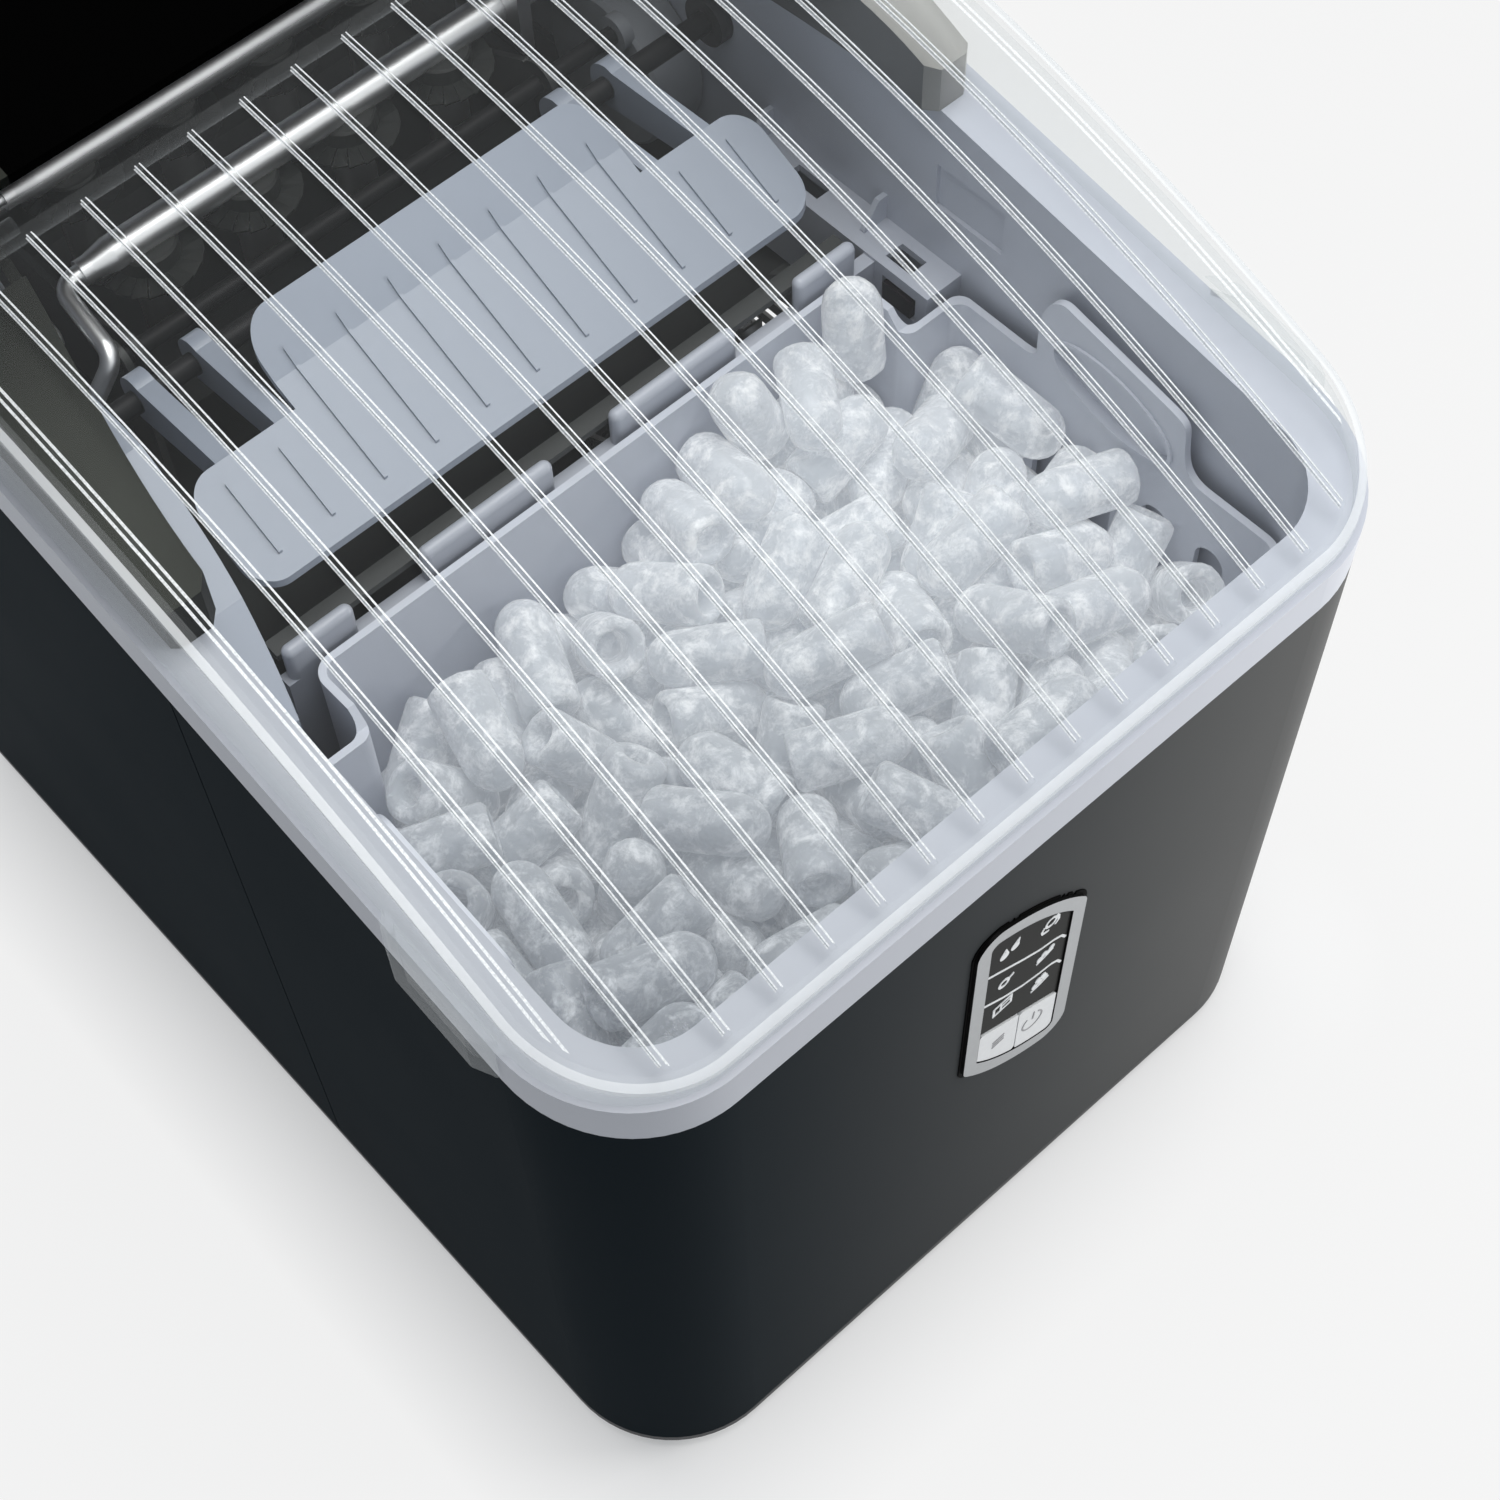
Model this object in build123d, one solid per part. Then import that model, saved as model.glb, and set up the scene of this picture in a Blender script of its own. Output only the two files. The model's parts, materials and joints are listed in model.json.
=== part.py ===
from build123d import *
import math
import os

# Counter-top bullet ice maker. Millimetres, +Z up, front towards -Y.
# The origin is on the table under the middle of the body.
# "depth" values (names ending in _Y) are measured back from the front face.

# Body
BODY_W = 245.0
BODY_D = 330.0
FRONT_R = 34.0
REAR_R = 6.0
FRONT_H = 215.5
SLOPE_DEG = 10.0
SHELL_T = 1.2
SEAM_Y = 142.5
SEAM_GAP = 0.6
TONGUE = 10.0
FIT = 0.2
REST = 0.05
RUN = 0.3

# Base pan and feet
FOOT_H = 6.0
FOOT_R = 10.0
FOOT_STEM_R = 4.0
FOOT_INSET = 30.5
FOOT_BACK_GAP = 30.0
FOOT_STEM_H = 6.0
FOOT_X = BODY_W / 2 - FOOT_INSET
FOOT_FRONT_Y = 34.0
FOOT_BACK_Y = BODY_D - FOOT_BACK_GAP
PAN_T = 2.6
PAN_RIM_H = 14.0
PAN_RIM_T = 2.0

# Liner: rim band, tub and reservoir
RIM_W = 14.5
TUB_BACK_GAP = 10.0
DIVIDER_TO_SHAFT = 72.5
BAND_H = 12.9
BAND_T = 3.0
TUB_HALF_W = BODY_W / 2 - RIM_W
TUB_FRONT_Y = 13.0
TUB_BACK_Y = BODY_D - TUB_BACK_GAP
TUB_FRONT_R = 20.0
TUB_BACK_R = 8.0
TUB_T = 2.2
TUB_FLOOR_Z = 34.0
WALL_LOW_Z = 142.0
TUBE_TO_WALL = 25.0
TUBE_STEP = 34.0
TRAY_TO_TUBE = 17.0
SHAFT_TO_TRAY = 20.0
TUBE_BACK_Y = TUB_BACK_Y - TUBE_TO_WALL
TUBE_FRONT_Y = TUBE_BACK_Y - TUBE_STEP
TRAY_PIVOT_Y = TUBE_FRONT_Y - TRAY_TO_TUBE
SHAFT_Y = TRAY_PIVOT_Y - SHAFT_TO_TRAY
DIVIDER_Y = SHAFT_Y - DIVIDER_TO_SHAFT
DIVIDER_T = 4.0
DIVIDER_TOP_Z = 204.0
BAR_H = 10.8
BAR_LONG = 40.0
BAR_SHORT = 20.0
BAR_LONG_X = 29.5
BAR_SHORT_X = 80.0

# Ledge on the right wall of the tub, beside the shovel
LEDGE_W = 12.0
LEDGE_L = 71.0
LEDGE_GAP = 2.5
LEDGE_TOP_Z = 205.0
LEDGE_LOW_Z = 178.0
LEDGE_RIB_H = 8.0
LEDGE_RIB_T = 1.6
LEDGE_RIB_FROM = 27.0
LEDGE_X = TUB_HALF_W - LEDGE_W

# Evaporator trough
TROUGH_T = 2.0
TROUGH_FLOOR_Z = 144.0
TROUGH_TOP_Z = 211.0
TROUGH_SIDE_Z = 176.0
TROUGH_GAP = 0.5
TROUGH_STEP = 4.0
TROUGH_WING = 17.6
TROUGH_STEP_Y = SHAFT_Y + TROUGH_STEP
TROUGH_WING_X = TUB_HALF_W - TROUGH_WING
CHUTE_R = 66.0

# Lid
LID_STEP = 1.5
COVER_L = 87.8
COVER_FRONT_Y = BODY_D - COVER_L
PIVOT_TO_COVER = 7.2
PIVOT_Y = COVER_FRONT_Y - PIVOT_TO_COVER
LID_HALF_W = BODY_W / 2 - LID_STEP
LID_FRONT_Y = 1.4
LID_R = 32.6
LID_T = 2.0
LID_FRONT_Z = 232.0
LID_RISE = 0.468
LID_BOW = 0.0009
PIVOT_R = 4.6
PIN_R = 1.8
PIN_LEN = 26.0
KNUCKLE_W = 19.4
ARM_GAP = 1.6
ARM_OUT_X = LID_HALF_W - LID_T - ARM_GAP
KNUCKLE_X = ARM_OUT_X - KNUCKLE_W
KNUCKLE_GAP = 0.5
RIB_COUNT = 15
RIB_PITCH = 14.3
RIB_W = 1.5
RIB_H = 0.8
TAB_Y0 = 34.0
TAB_Y1 = 68.0
TAB_OUT = 5.0
TAB_DROP = 10.0

# Rear cover with its two arms
COVER_TOP_Z = 298.0
COVER_BACK_Z = 290.0
COVER_T = 2.5
ARM_L = 99.2
ARM_TIP_Y = COVER_FRONT_Y - ARM_L
ARM_TIP_W = 13.0
ARM_BACK_W = 30.0
ARM_TIP_H = 13.0
ARM_LID_GAP = 1.6
ARM_KNEE_L = 9.0

# Basket
BASKET_GAP = 3.0
BASKET_NECK_STEP = 18.5
BASKET_NECK_L = 20.0
BASKET_TO_DIVIDER = 1.5
BASKET_HALF_W = TUB_HALF_W - BASKET_GAP
BASKET_NECK_HALF_W = BASKET_HALF_W - BASKET_NECK_STEP
BASKET_FRONT_Y = TUB_FRONT_Y + 5.0
BASKET_BACK_Y = DIVIDER_Y - BASKET_TO_DIVIDER
BASKET_STEP_Y = BASKET_BACK_Y - BASKET_NECK_L
BASKET_R = 9.0
BASKET_T = 2.0
BASKET_FLOOR_Z = 112.0
BASKET_FRONT_TOP_Z = 202.0
BASKET_SIDE_TOP_Z = 203.5
BASKET_BACK_TOP_Z = 208.0
GRIP_Y0 = 53.0
GRIP_Y1 = 100.0
GRIP_TOP_Z = 228.0
GRIP_DROP = 7.0
GRIP_SLOT_L = 39.0
GRIP_SLOT_H = 17.0
GRIP_SLOT_Z = 208.5
GRIP_BULGE = 1.7
GRIP_WALL = 1.4
GRIP_RIM_W = 1.2
GRIP_RIM_H = 0.7
SIDE_SLOT_W = 9.0
SIDE_SLOT_PITCH = 18.0
SIDE_SLOT_FIRST_Y = 40.0
SIDE_SLOT_LOW_Z = 128.0
SIDE_SLOT_TOP_Z = 184.0
POST_R = 6.0

# Evaporator
TUBE_R = 4.5
TUBE_Z = 236.0
TUBE_LEFT_X = -56.0
TUBE_RIGHT_X = 74.0
PIPE_R = 2.4
FINGER_R = 5.5
FINGER_LOW_Z = 193.0
FINGER_PITCH = 31.0
FINGER_COUNT = 4

# Tilting water tray
TRAY_HALF_W = 66.0
TRAY_FRONT_Y = TRAY_PIVOT_Y + 2.0
TRAY_BACK_Y = TUB_BACK_Y - 3.5
TRAY_TOP_Z = 217.0
TRAY_LOW_Z = 184.0
TRAY_T = 2.0
TRAY_PIVOT_Z = 222.0
TRAY_PIN_R = 2.5
TRAY_LUG_R = 6.5

# Ice shovel
SHAFT_Z = 230.0
SHAFT_R = 3.0
SHOVEL_HALF_W = TUB_HALF_W - 21.5
SHOVEL_TIP_Y = SHAFT_Y - 62.0
SHOVEL_TIP_Z = 225.0
SHOVEL_SHOULDER_Y = SHAFT_Y - 34.0
SHOVEL_CREASE_Y = SHAFT_Y - 27.0
SHOVEL_TOP_Y = SHAFT_Y - 14.0
SHOVEL_RISE = 0.458
SHOVEL_CENTRE_HALF_W = SHOVEL_HALF_W - 33.5
SHOVEL_T = 2.4
SHOVEL_RIB_PITCH = 15.4
LUG_INNER_X = SHOVEL_CENTRE_HALF_W + 1.0
LUG_OUTER_X = SHOVEL_HALF_W - 15.5
LUG_T = 5.0
LUG_R = 6.5

# Gear motors
MOTOR_R = 23.0
SHOVEL_MOTOR_R = 20.0
MOTOR_T = 16.0
MOTOR_BOSS_R = 5.0
TRAY_MOTOR_Y = TRAY_PIVOT_Y + 8.0
TRAY_MOTOR_Z = 203.0
SHOVEL_MOTOR_Y = SHAFT_Y - 15.5
SHOVEL_MOTOR_Z = 218.5
GEAR_COVER_LOW_Z = 192.0
GEAR_COVER_TOP_Z = 246.0
GEAR_COVER_T = 1.8

# Refrigeration and air
COMP_R = 49.0
COMP_H = 104.0
COMP_X = -BODY_W / 2 + 66.5
COMP_Y = BODY_D - 92.0
COMP_Z = 22.0
COND_T = 24.0
COND_L = 100.0
COND_X1 = TUB_HALF_W
COND_X0 = COND_X1 - COND_T
COND_Y1 = BODY_D - 34.0
COND_Y0 = COND_Y1 - COND_L
FAN_R = 42.0
FAN_HUB_R = 14.0
FAN_Y = (COND_Y0 + COND_Y1) / 2
FAN_Z = 72.0
FAN_X = COND_X0 - 16.0
FAN_T = 18.0
BLADES = 7
COND_Z0 = 18.0
COND_Z1 = 128.0

# Control panel
PANEL_LEFT_X = -18.2
PANEL_RIGHT_X = 18.9
PANEL_HIGH_Z = 191.8
PANEL_LOW_Z = 100.8
PANEL_STEP_Z = 169.4
PANEL_BOW_Z = 38.6
PANEL_RIM = 4.4
PANEL_PROUD = 1.2
PANEL_DEEP = 3.0
PANEL_HOLE = 1.6
PANEL_FLOOR_Y = 1.6
KEY_LINE_LEFT_Z = 141.1
KEY_LINE_RIGHT_Z = 123.2
KEY_GAP = 0.4
KEY_TRAVEL = 0.6
KEY_STEM_R = 1.6
KEY_STEMS = ((-6.0, 128.0), (7.5, 120.0))
BOARD_Y = 6.4
BOARD_POSTS = ((-11.5, 174.0), (13.5, 111.5))
KEY_SPLIT_X = 0.5

# Pipes, hose and chute
PIPE_OUT_Y = TUBE_FRONT_Y - 23.0
PIPE_OUT_Z = 216.0
PIPE_STEP = 13.0
PIPE_SIDE_X = -TUB_HALF_W - 7.8
SPOUT_Y = TUB_BACK_Y - 11.0
SPOUT_Z = 224.0
SPOUT_R = 4.0
HOSE_R = 4.0
HOSE_X = COMP_X + COMP_R + 11.0
HOSE_LOW_Z = 54.0
HOSE_UP_Y = DIVIDER_Y - 11.5
HOSE_HIGH_Z = 103.0
HOSE_SIDE_X = -TUB_HALF_W - 7.6
CHUTE_X0 = -TUB_HALF_W + 8.0
CHUTE_X1 = CHUTE_X0 + 20.0
BUSH_T = 1.6
GEAR_COVER_END_Y = PIPE_OUT_Y - 6.8
GEAR_COVER_TIP_Y = DIVIDER_Y - 17.5
DRIER_Y = DIVIDER_Y + 26.5
DRIER_Z = 132.0
DRIER_X0 = 20.0
DRIER_X1 = 66.0
LOOP_Z = 136.0
SENSOR_Z0 = 197.0
SENSOR_Z1 = 209.0
SENSOR_LOW_Z = 193.5
SENSOR_HIGH_Z = 201.5
PUMP_BACK_Y = DIVIDER_Y - 27.5

# Small parts
SCREW_R = 1.5
SCREW_HEAD_R = 3.0
SCREW_HEAD_H = 1.2
SCREW_L = 5.0
SCREW_X = BODY_W / 2 - 17.5
SCREW_ROWS = (44.0, 140.0, 236.0)
DRAIN_Y = 66.0
DRAIN_R = 10.0
DRAIN_WALL = 2.6
CAP_WALL = 2.4
DRAIN_SEAL_T = 2.0
GLAND_X = BODY_W / 2 - 44.5
GLAND_Z = 34.0
GLAND_R = 7.0

WIDE = 2 * BODY_W
TAN = math.tan(math.radians(SLOPE_DEG))
PAN_Z = FOOT_H
PAN_TOP = PAN_Z + PAN_T
PIVOT_Z = LID_FRONT_Z + LID_RISE * PIVOT_Y - LID_BOW * PIVOT_Y ** 2 - PIVOT_R - 0.2


def fy(depth):
    # depth behind the front face -> Y
    return depth - BODY_D / 2


def slope_z(depth, above=0.0):
    return FRONT_H + TAN * depth + above


def lid_z(depth, below=0.0):
    return LID_FRONT_Z + LID_RISE * depth - LID_BOW * depth ** 2 - below


def block(x0, x1, d0, d1, z0, z1):
    size = Box(x1 - x0, d1 - d0, z1 - z0)
    return Pos((x0 + x1) / 2, fy((d0 + d1) / 2), (z0 + z1) / 2) * size


def side_prism(points, x0, x1):
    # points are (depth, z) seen from the side
    face = Plane.YZ * make_face(Polyline(*[(fy(d), z) for d, z in points], close=True))
    return Pos(x0, 0, 0) * extrude(face, amount=x1 - x0)


def below_slope(above=0.0, low=-20.0):
    far = BODY_D + 40
    pts = [(-40, low), (-40, slope_z(-40, above)), (far, slope_z(far, above)), (far, low)]
    return side_prism(pts, -WIDE / 2, WIDE / 2)


def rounded(half_w, d0, d1, r_front, r_back, z0, z1):
    sk = Rectangle(2 * half_w, d1 - d0)
    front = sk.vertices().sort_by(Axis.Y)[:2]
    sk = fillet(front, r_front)
    back = sk.vertices().sort_by(Axis.Y)[-2:]
    sk = fillet(back, r_back)
    return Pos(0, fy((d0 + d1) / 2), z0) * extrude(sk, amount=z1 - z0)


def body_block(inset, z0, z1):
    r_back = max(REAR_R - inset, 0.6)
    return rounded(BODY_W / 2 - inset, inset, BODY_D - inset, FRONT_R - inset, r_back, z0, z1)


def tub_block(out, z0, z1):
    half = TUB_HALF_W + out
    d0 = TUB_FRONT_Y - out
    return rounded(half, d0, TUB_BACK_Y + out, TUB_FRONT_R + out, TUB_BACK_R + out, z0, z1)


def rod_x(x0, x1, depth, z, r):
    return Pos(x0, fy(depth), z) * Rot(0, 90, 0) * Cylinder(r, x1 - x0,
                                                            align=(Align.CENTER, Align.CENTER, Align.MIN))


def rod_y(x, d0, d1, z, r):
    return Pos(x, fy(d0), z) * Rot(-90, 0, 0) * Cylinder(r, d1 - d0,
                                                         align=(Align.CENTER, Align.CENTER, Align.MIN))


def rod_z(x, depth, z0, z1, r):
    return Pos(x, fy(depth), z0) * Cylinder(r, z1 - z0, align=(Align.CENTER, Align.CENTER, Align.MIN))


def pipe(points, r, bend):
    # points are (x, depth, z); corners get an even bend
    wire = FilletPolyline(*[(x, fy(d), z) for x, d, z in points], radius=bend)
    start = Plane(origin=wire @ 0, z_dir=wire % 0)
    return sweep(start * Circle(r), path=wire, transition=Transition.ROUND)


def slot_cut_x(x0, x1, depth, z0, z1, width):
    # upright round-ended slot through a wall that faces sideways
    r = width / 2
    mid = block(x0, x1, depth - r, depth + r, z0 + r, z1 - r)
    return mid + rod_x(x0, x1, depth, z0 + r, r) + rod_x(x0, x1, depth, z1 - r, r)


def save(shape, name):
    shape = shape if isinstance(shape, Compound) and len(shape.solids()) > 1 else shape.solids()[0]
    export_step(shape, "parts/" + name + ".step")


def save_group(shapes, name):
    export_step(Compound(children=[s.solids()[0] for s in shapes]), "parts/" + name + ".step")


def screw(x, depth, z, direction):
    # pan-head screw whose head lies on the outer face; direction is where the shank points
    head = Cylinder(SCREW_HEAD_R, SCREW_HEAD_H, align=(Align.CENTER, Align.CENTER, Align.MAX))
    head = fillet(head.edges().group_by(Axis.Z)[0], 0.7)
    shank = Cylinder(SCREW_R, SCREW_L, align=(Align.CENTER, Align.CENTER, Align.MIN))
    cross = Pos(0, 0, -SCREW_HEAD_H) * (Box(3.2, 0.7, 1.4) + Box(0.7, 3.2, 1.4))
    body = head + shank - cross
    return Plane(origin=(x, fy(depth), z), z_dir=direction) * body


def base_pan():
    pan = body_block(0, PAN_Z, PAN_TOP)
    inset = SHELL_T + FIT
    wall = body_block(inset, PAN_TOP,
                      PAN_TOP + PAN_RIM_H) - body_block(inset + PAN_RIM_T, PAN_TOP, PAN_TOP + PAN_RIM_H)
    pan += wall
    for sx in (-1, 1):
        for d in (FOOT_FRONT_Y, FOOT_BACK_Y):
            pan += rod_z(sx * FOOT_X, d, PAN_TOP, PAN_TOP + 3.0, FOOT_STEM_R + 3)
            pan -= rod_z(sx * FOOT_X, d, PAN_Z - 1, PAN_TOP + 4, FOOT_STEM_R)
    # ribs that carry the reservoir, and the way through to its drain
    for x in (-70, -35, 35, 70):
        pan += block(x - 1.2, x + 1.2, TUB_FRONT_Y + 11, DIVIDER_Y - 11.5, PAN_TOP - 0.5, TUB_FLOOR_Z
                     - REST)
    pan -= rod_z(0, DRAIN_Y, PAN_Z - 1, PAN_TOP + 1, DRAIN_R + DRAIN_WALL + CAP_WALL + 3)
    # air inlet slots under the machine space
    for i in range(7):
        d = COND_Y0 - 10 + 12 * i
        pan -= block(4, FAN_X - 12, d, d + 5, PAN_Z - 1, PAN_TOP + 1)
    for a in (90, 210, 330):
        x = COMP_X + 40 * math.cos(math.radians(a))
        d = COMP_Y + 40 * math.sin(math.radians(a))
        pan += rod_z(x, d, PAN_TOP - 0.5, PAN_TOP + 4, 7)
        pan -= rod_z(x, d, PAN_TOP - 2, PAN_TOP + 5, 2.5)
    # seats of the condenser and of the fan frame
    for d in (COND_Y0 + 6, COND_Y1 - 14):
        pan += block(COND_X0 + 2, COND_X1 - 2, d, d + 8, PAN_TOP - 0.5, COND_Z0 - REST)
    pan += block(FAN_X - 5, FAN_X + 5, FAN_Y - 30, FAN_Y + 30, PAN_TOP - 0.5, FAN_Z - FAN_R - 7 - REST)
    return pan


def feet():
    out = []
    for sx in (-1, 1):
        for d in (FOOT_FRONT_Y, FOOT_BACK_Y):
            pad = rod_z(sx * FOOT_X, d, 0, FOOT_H - REST, FOOT_R)
            pad = chamfer(pad.edges().group_by(Axis.Z)[0], 1.2)
            out.append(pad + rod_z(sx * FOOT_X, d, FOOT_H - 1, FOOT_H + FOOT_STEM_H, FOOT_STEM_R - 0.1))
    return out


def panel_outline(shrink=0.0):
    # the control panel leans: its right half sits lower than its left half
    left, right = PANEL_LEFT_X, PANEL_RIGHT_X
    mid_x, mid_z = (left + right) / 2, (PANEL_HIGH_Z + PANEL_LOW_Z) / 2
    with BuildSketch(Plane.XZ) as sk:
        with BuildLine():
            a = Line((left, 2 * mid_z - PANEL_STEP_Z), (left, PANEL_HIGH_Z))
            b = ThreePointArc(a @ 1, (mid_x + 1, mid_z + PANEL_BOW_Z), (right, PANEL_STEP_Z))
            c = Line(b @ 1, (right, PANEL_LOW_Z))
            ThreePointArc(c @ 1, (mid_x - 1, mid_z - PANEL_BOW_Z), a @ 0)
        make_face()
        corners = sk.vertices().sort_by(Axis.Y)
        fillet([corners[0], corners[-1]], 6.5)
        obtuse = [v for v in sk.vertices() if abs(abs(v.Y - mid_z) - abs(PANEL_STEP_Z - mid_z)) < 0.01]
        fillet(obtuse, 5.0)
    return offset(sk.sketch, amount=-shrink, kind=Kind.ARC) if shrink else sk.sketch


def panel_block(shrink, d0, d1):
    return Pos(0, fy(d0), 0) * extrude(panel_outline(shrink), amount=-(d1 - d0))


def shell_wall():
    wall = body_block(0, PAN_TOP + FIT, 400) - body_block(SHELL_T, PAN_TOP, 401)
    return wall & below_slope(0.0)


def front_shell():
    shell = shell_wall() & block(-WIDE, WIDE, -10, SEAM_Y, 0, 400)
    return shell - panel_block(PANEL_HOLE, -1, SHELL_T + 1)


def tongue_wall():
    # thin joggle that reaches behind the neighbouring sheet
    inset = SHELL_T + 0.1
    t = 0.9
    wall = body_block(inset, PAN_TOP + PAN_RIM_H + 2, 400) - body_block(inset + t, PAN_TOP, 401)
    return wall & below_slope(-8.0)


def side_panel(side):
    near = block(-WIDE, WIDE, SEAM_Y + SEAM_GAP, BODY_D + 10, 0, 400)
    half = block(BODY_W / 2 - 22, WIDE, -10, BODY_D + 10, 0, 400)
    panel = shell_wall() & near & half
    joggle = tongue_wall() & block(BODY_W / 2 - 22, WIDE, SEAM_Y - TONGUE, SEAM_Y + SEAM_GAP + 6, 0, 400)
    weld = body_block(0.4, PAN_TOP + PAN_RIM_H + 2, 400) - body_block(SHELL_T + 1.0, PAN_TOP, 401)
    weld = weld & below_slope(-8.0) & block(BODY_W / 2 - 22, WIDE, SEAM_Y + SEAM_GAP + 1, SEAM_Y
                                            + SEAM_GAP + 5, 0, 400)
    panel = panel + joggle + weld
    for z in SCREW_ROWS:
        panel -= rod_y(SCREW_X, BODY_D - 4, BODY_D + 2, z, SCREW_R + 0.15)
    if side > 0:
        # exhaust louvres in front of the condenser
        for i in range(11):
            z = 34 + 8 * i
            for d in (COND_Y0 + 4, COND_Y0 + 54):
                panel -= block(BODY_W / 2 - 4, BODY_W / 2 + 4, d, d + 42, z, z + 4)
    else:
        panel = mirror(panel, Plane.YZ)
    return panel


def rear_panel():
    half = BODY_W / 2 - 22 - 0.4
    d1 = BODY_D
    top = slope_z(d1 - SHELL_T) - REST
    plate = block(-half, half, d1 - SHELL_T, d1, PAN_TOP + FIT, top)
    for sx in (-1, 1):
        x0, x1 = sorted((sx * (half - 5), sx * (half + 9)))
        plate += block(x0, x1, d1 - SHELL_T - 1.2, d1 - SHELL_T - 0.15, PAN_TOP + PAN_RIM_H + 2,
                       slope_z(d1) - 12)
        x0, x1 = sorted((sx * (half - 5), sx * (half - 1)))
        plate += block(x0, x1, d1 - SHELL_T - 0.6, d1 - 0.4, PAN_TOP + PAN_RIM_H + 2, slope_z(d1) - 12)
    for col in range(3):
        for row in range(12):
            x = -62 + 44 * col
            z = 66 + 8 * row
            cut = block(x, x + 32, d1 - 6, d1 + 2, z, z + 4)
            plate -= cut
    for sx in (-1, 1):
        for z in SCREW_ROWS:
            plate -= rod_y(sx * SCREW_X, d1 - 8, d1 + 2, z, SCREW_R + 0.15)
    return plate - rod_y(GLAND_X, d1 - 6, d1 + 2, GLAND_Z, GLAND_R)


def divider():
    wall = block(-TUB_HALF_W - 0.5, TUB_HALF_W + 0.5, DIVIDER_Y, DIVIDER_Y + DIVIDER_T, TUB_FLOOR_Z,
                 DIVIDER_TOP_Z)
    for x, length in ((BAR_LONG_X, BAR_LONG), (BAR_SHORT_X, BAR_SHORT)):
        for sx in (-1, 1):
            r = DIVIDER_T / 2
            z = DIVIDER_TOP_Z + BAR_H - r
            mid = DIVIDER_Y + r
            xc = sx * x
            end = length / 2 - r
            wall += block(xc - end, xc + end, mid - r, mid + r, DIVIDER_TOP_Z - 1, z)
            wall += rod_x(xc - end, xc + end, mid, z, r)
            for x_end in (xc - end, xc + end):
                wall += rod_z(x_end, mid, DIVIDER_TOP_Z - 1, z, r) + Pos(x_end, fy(mid), z) * Sphere(r)
    # the left end stops under the gear cover
    return wall - block(-WIDE, -TUB_HALF_W + 16.5, DIVIDER_Y - 1, DIVIDER_Y + DIVIDER_T + 1,
                        GEAR_COVER_LOW_Z - 0.5, 400)


def right_ledge(body):
    t = TUB_T
    d0 = BASKET_STEP_Y + LEDGE_GAP
    d1 = d0 + LEDGE_L
    x0, x1 = LEDGE_X, TUB_HALF_W
    shelf = block(x0, x1 + 0.5, d0, d1, LEDGE_LOW_Z, LEDGE_TOP_Z)
    shelf -= block(x0 + t, x1, d0 + t, d1 - t, LEDGE_LOW_Z - 1, LEDGE_TOP_Z - t)
    body += shelf
    # two upright ribs between the ledge and the wall
    for d in (d0 + LEDGE_RIB_FROM, d1 - LEDGE_RIB_T):
        z0, z1 = LEDGE_TOP_Z - 1, LEDGE_TOP_Z + LEDGE_RIB_H
        with BuildSketch(Plane.XZ) as sk:
            with BuildLine():
                Polyline((x0 + 4, z0), (x0 + 4, z0 + 1.6), (x1 - 3, z1), (x1 + 0.5, z1), (x1 + 0.5, z0),
                         (x0 + 4, z0))
            make_face()
        rib = extrude(sk.sketch, amount=LEDGE_RIB_T)
        body += Pos(0, fy(d) + LEDGE_RIB_T, 0) * rib
    # window and slot in the ledge, and the seat of the right ice sensor
    body -= block(x0 + 2.8, x0 + 8.7, d0 + 9, d0 + 17.8, LEDGE_TOP_Z - t - 1, LEDGE_TOP_Z + 1)
    body -= block(x0 + 3.5, x0 + 8.5, d0 + 44, d0 + 56, LEDGE_TOP_Z - t - 1, LEDGE_TOP_Z + 1)
    return body - block(x0 - 1, x0 + 1.2, d0 + 4, d0 + 16, SENSOR_LOW_Z, SENSOR_HIGH_Z)


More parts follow.
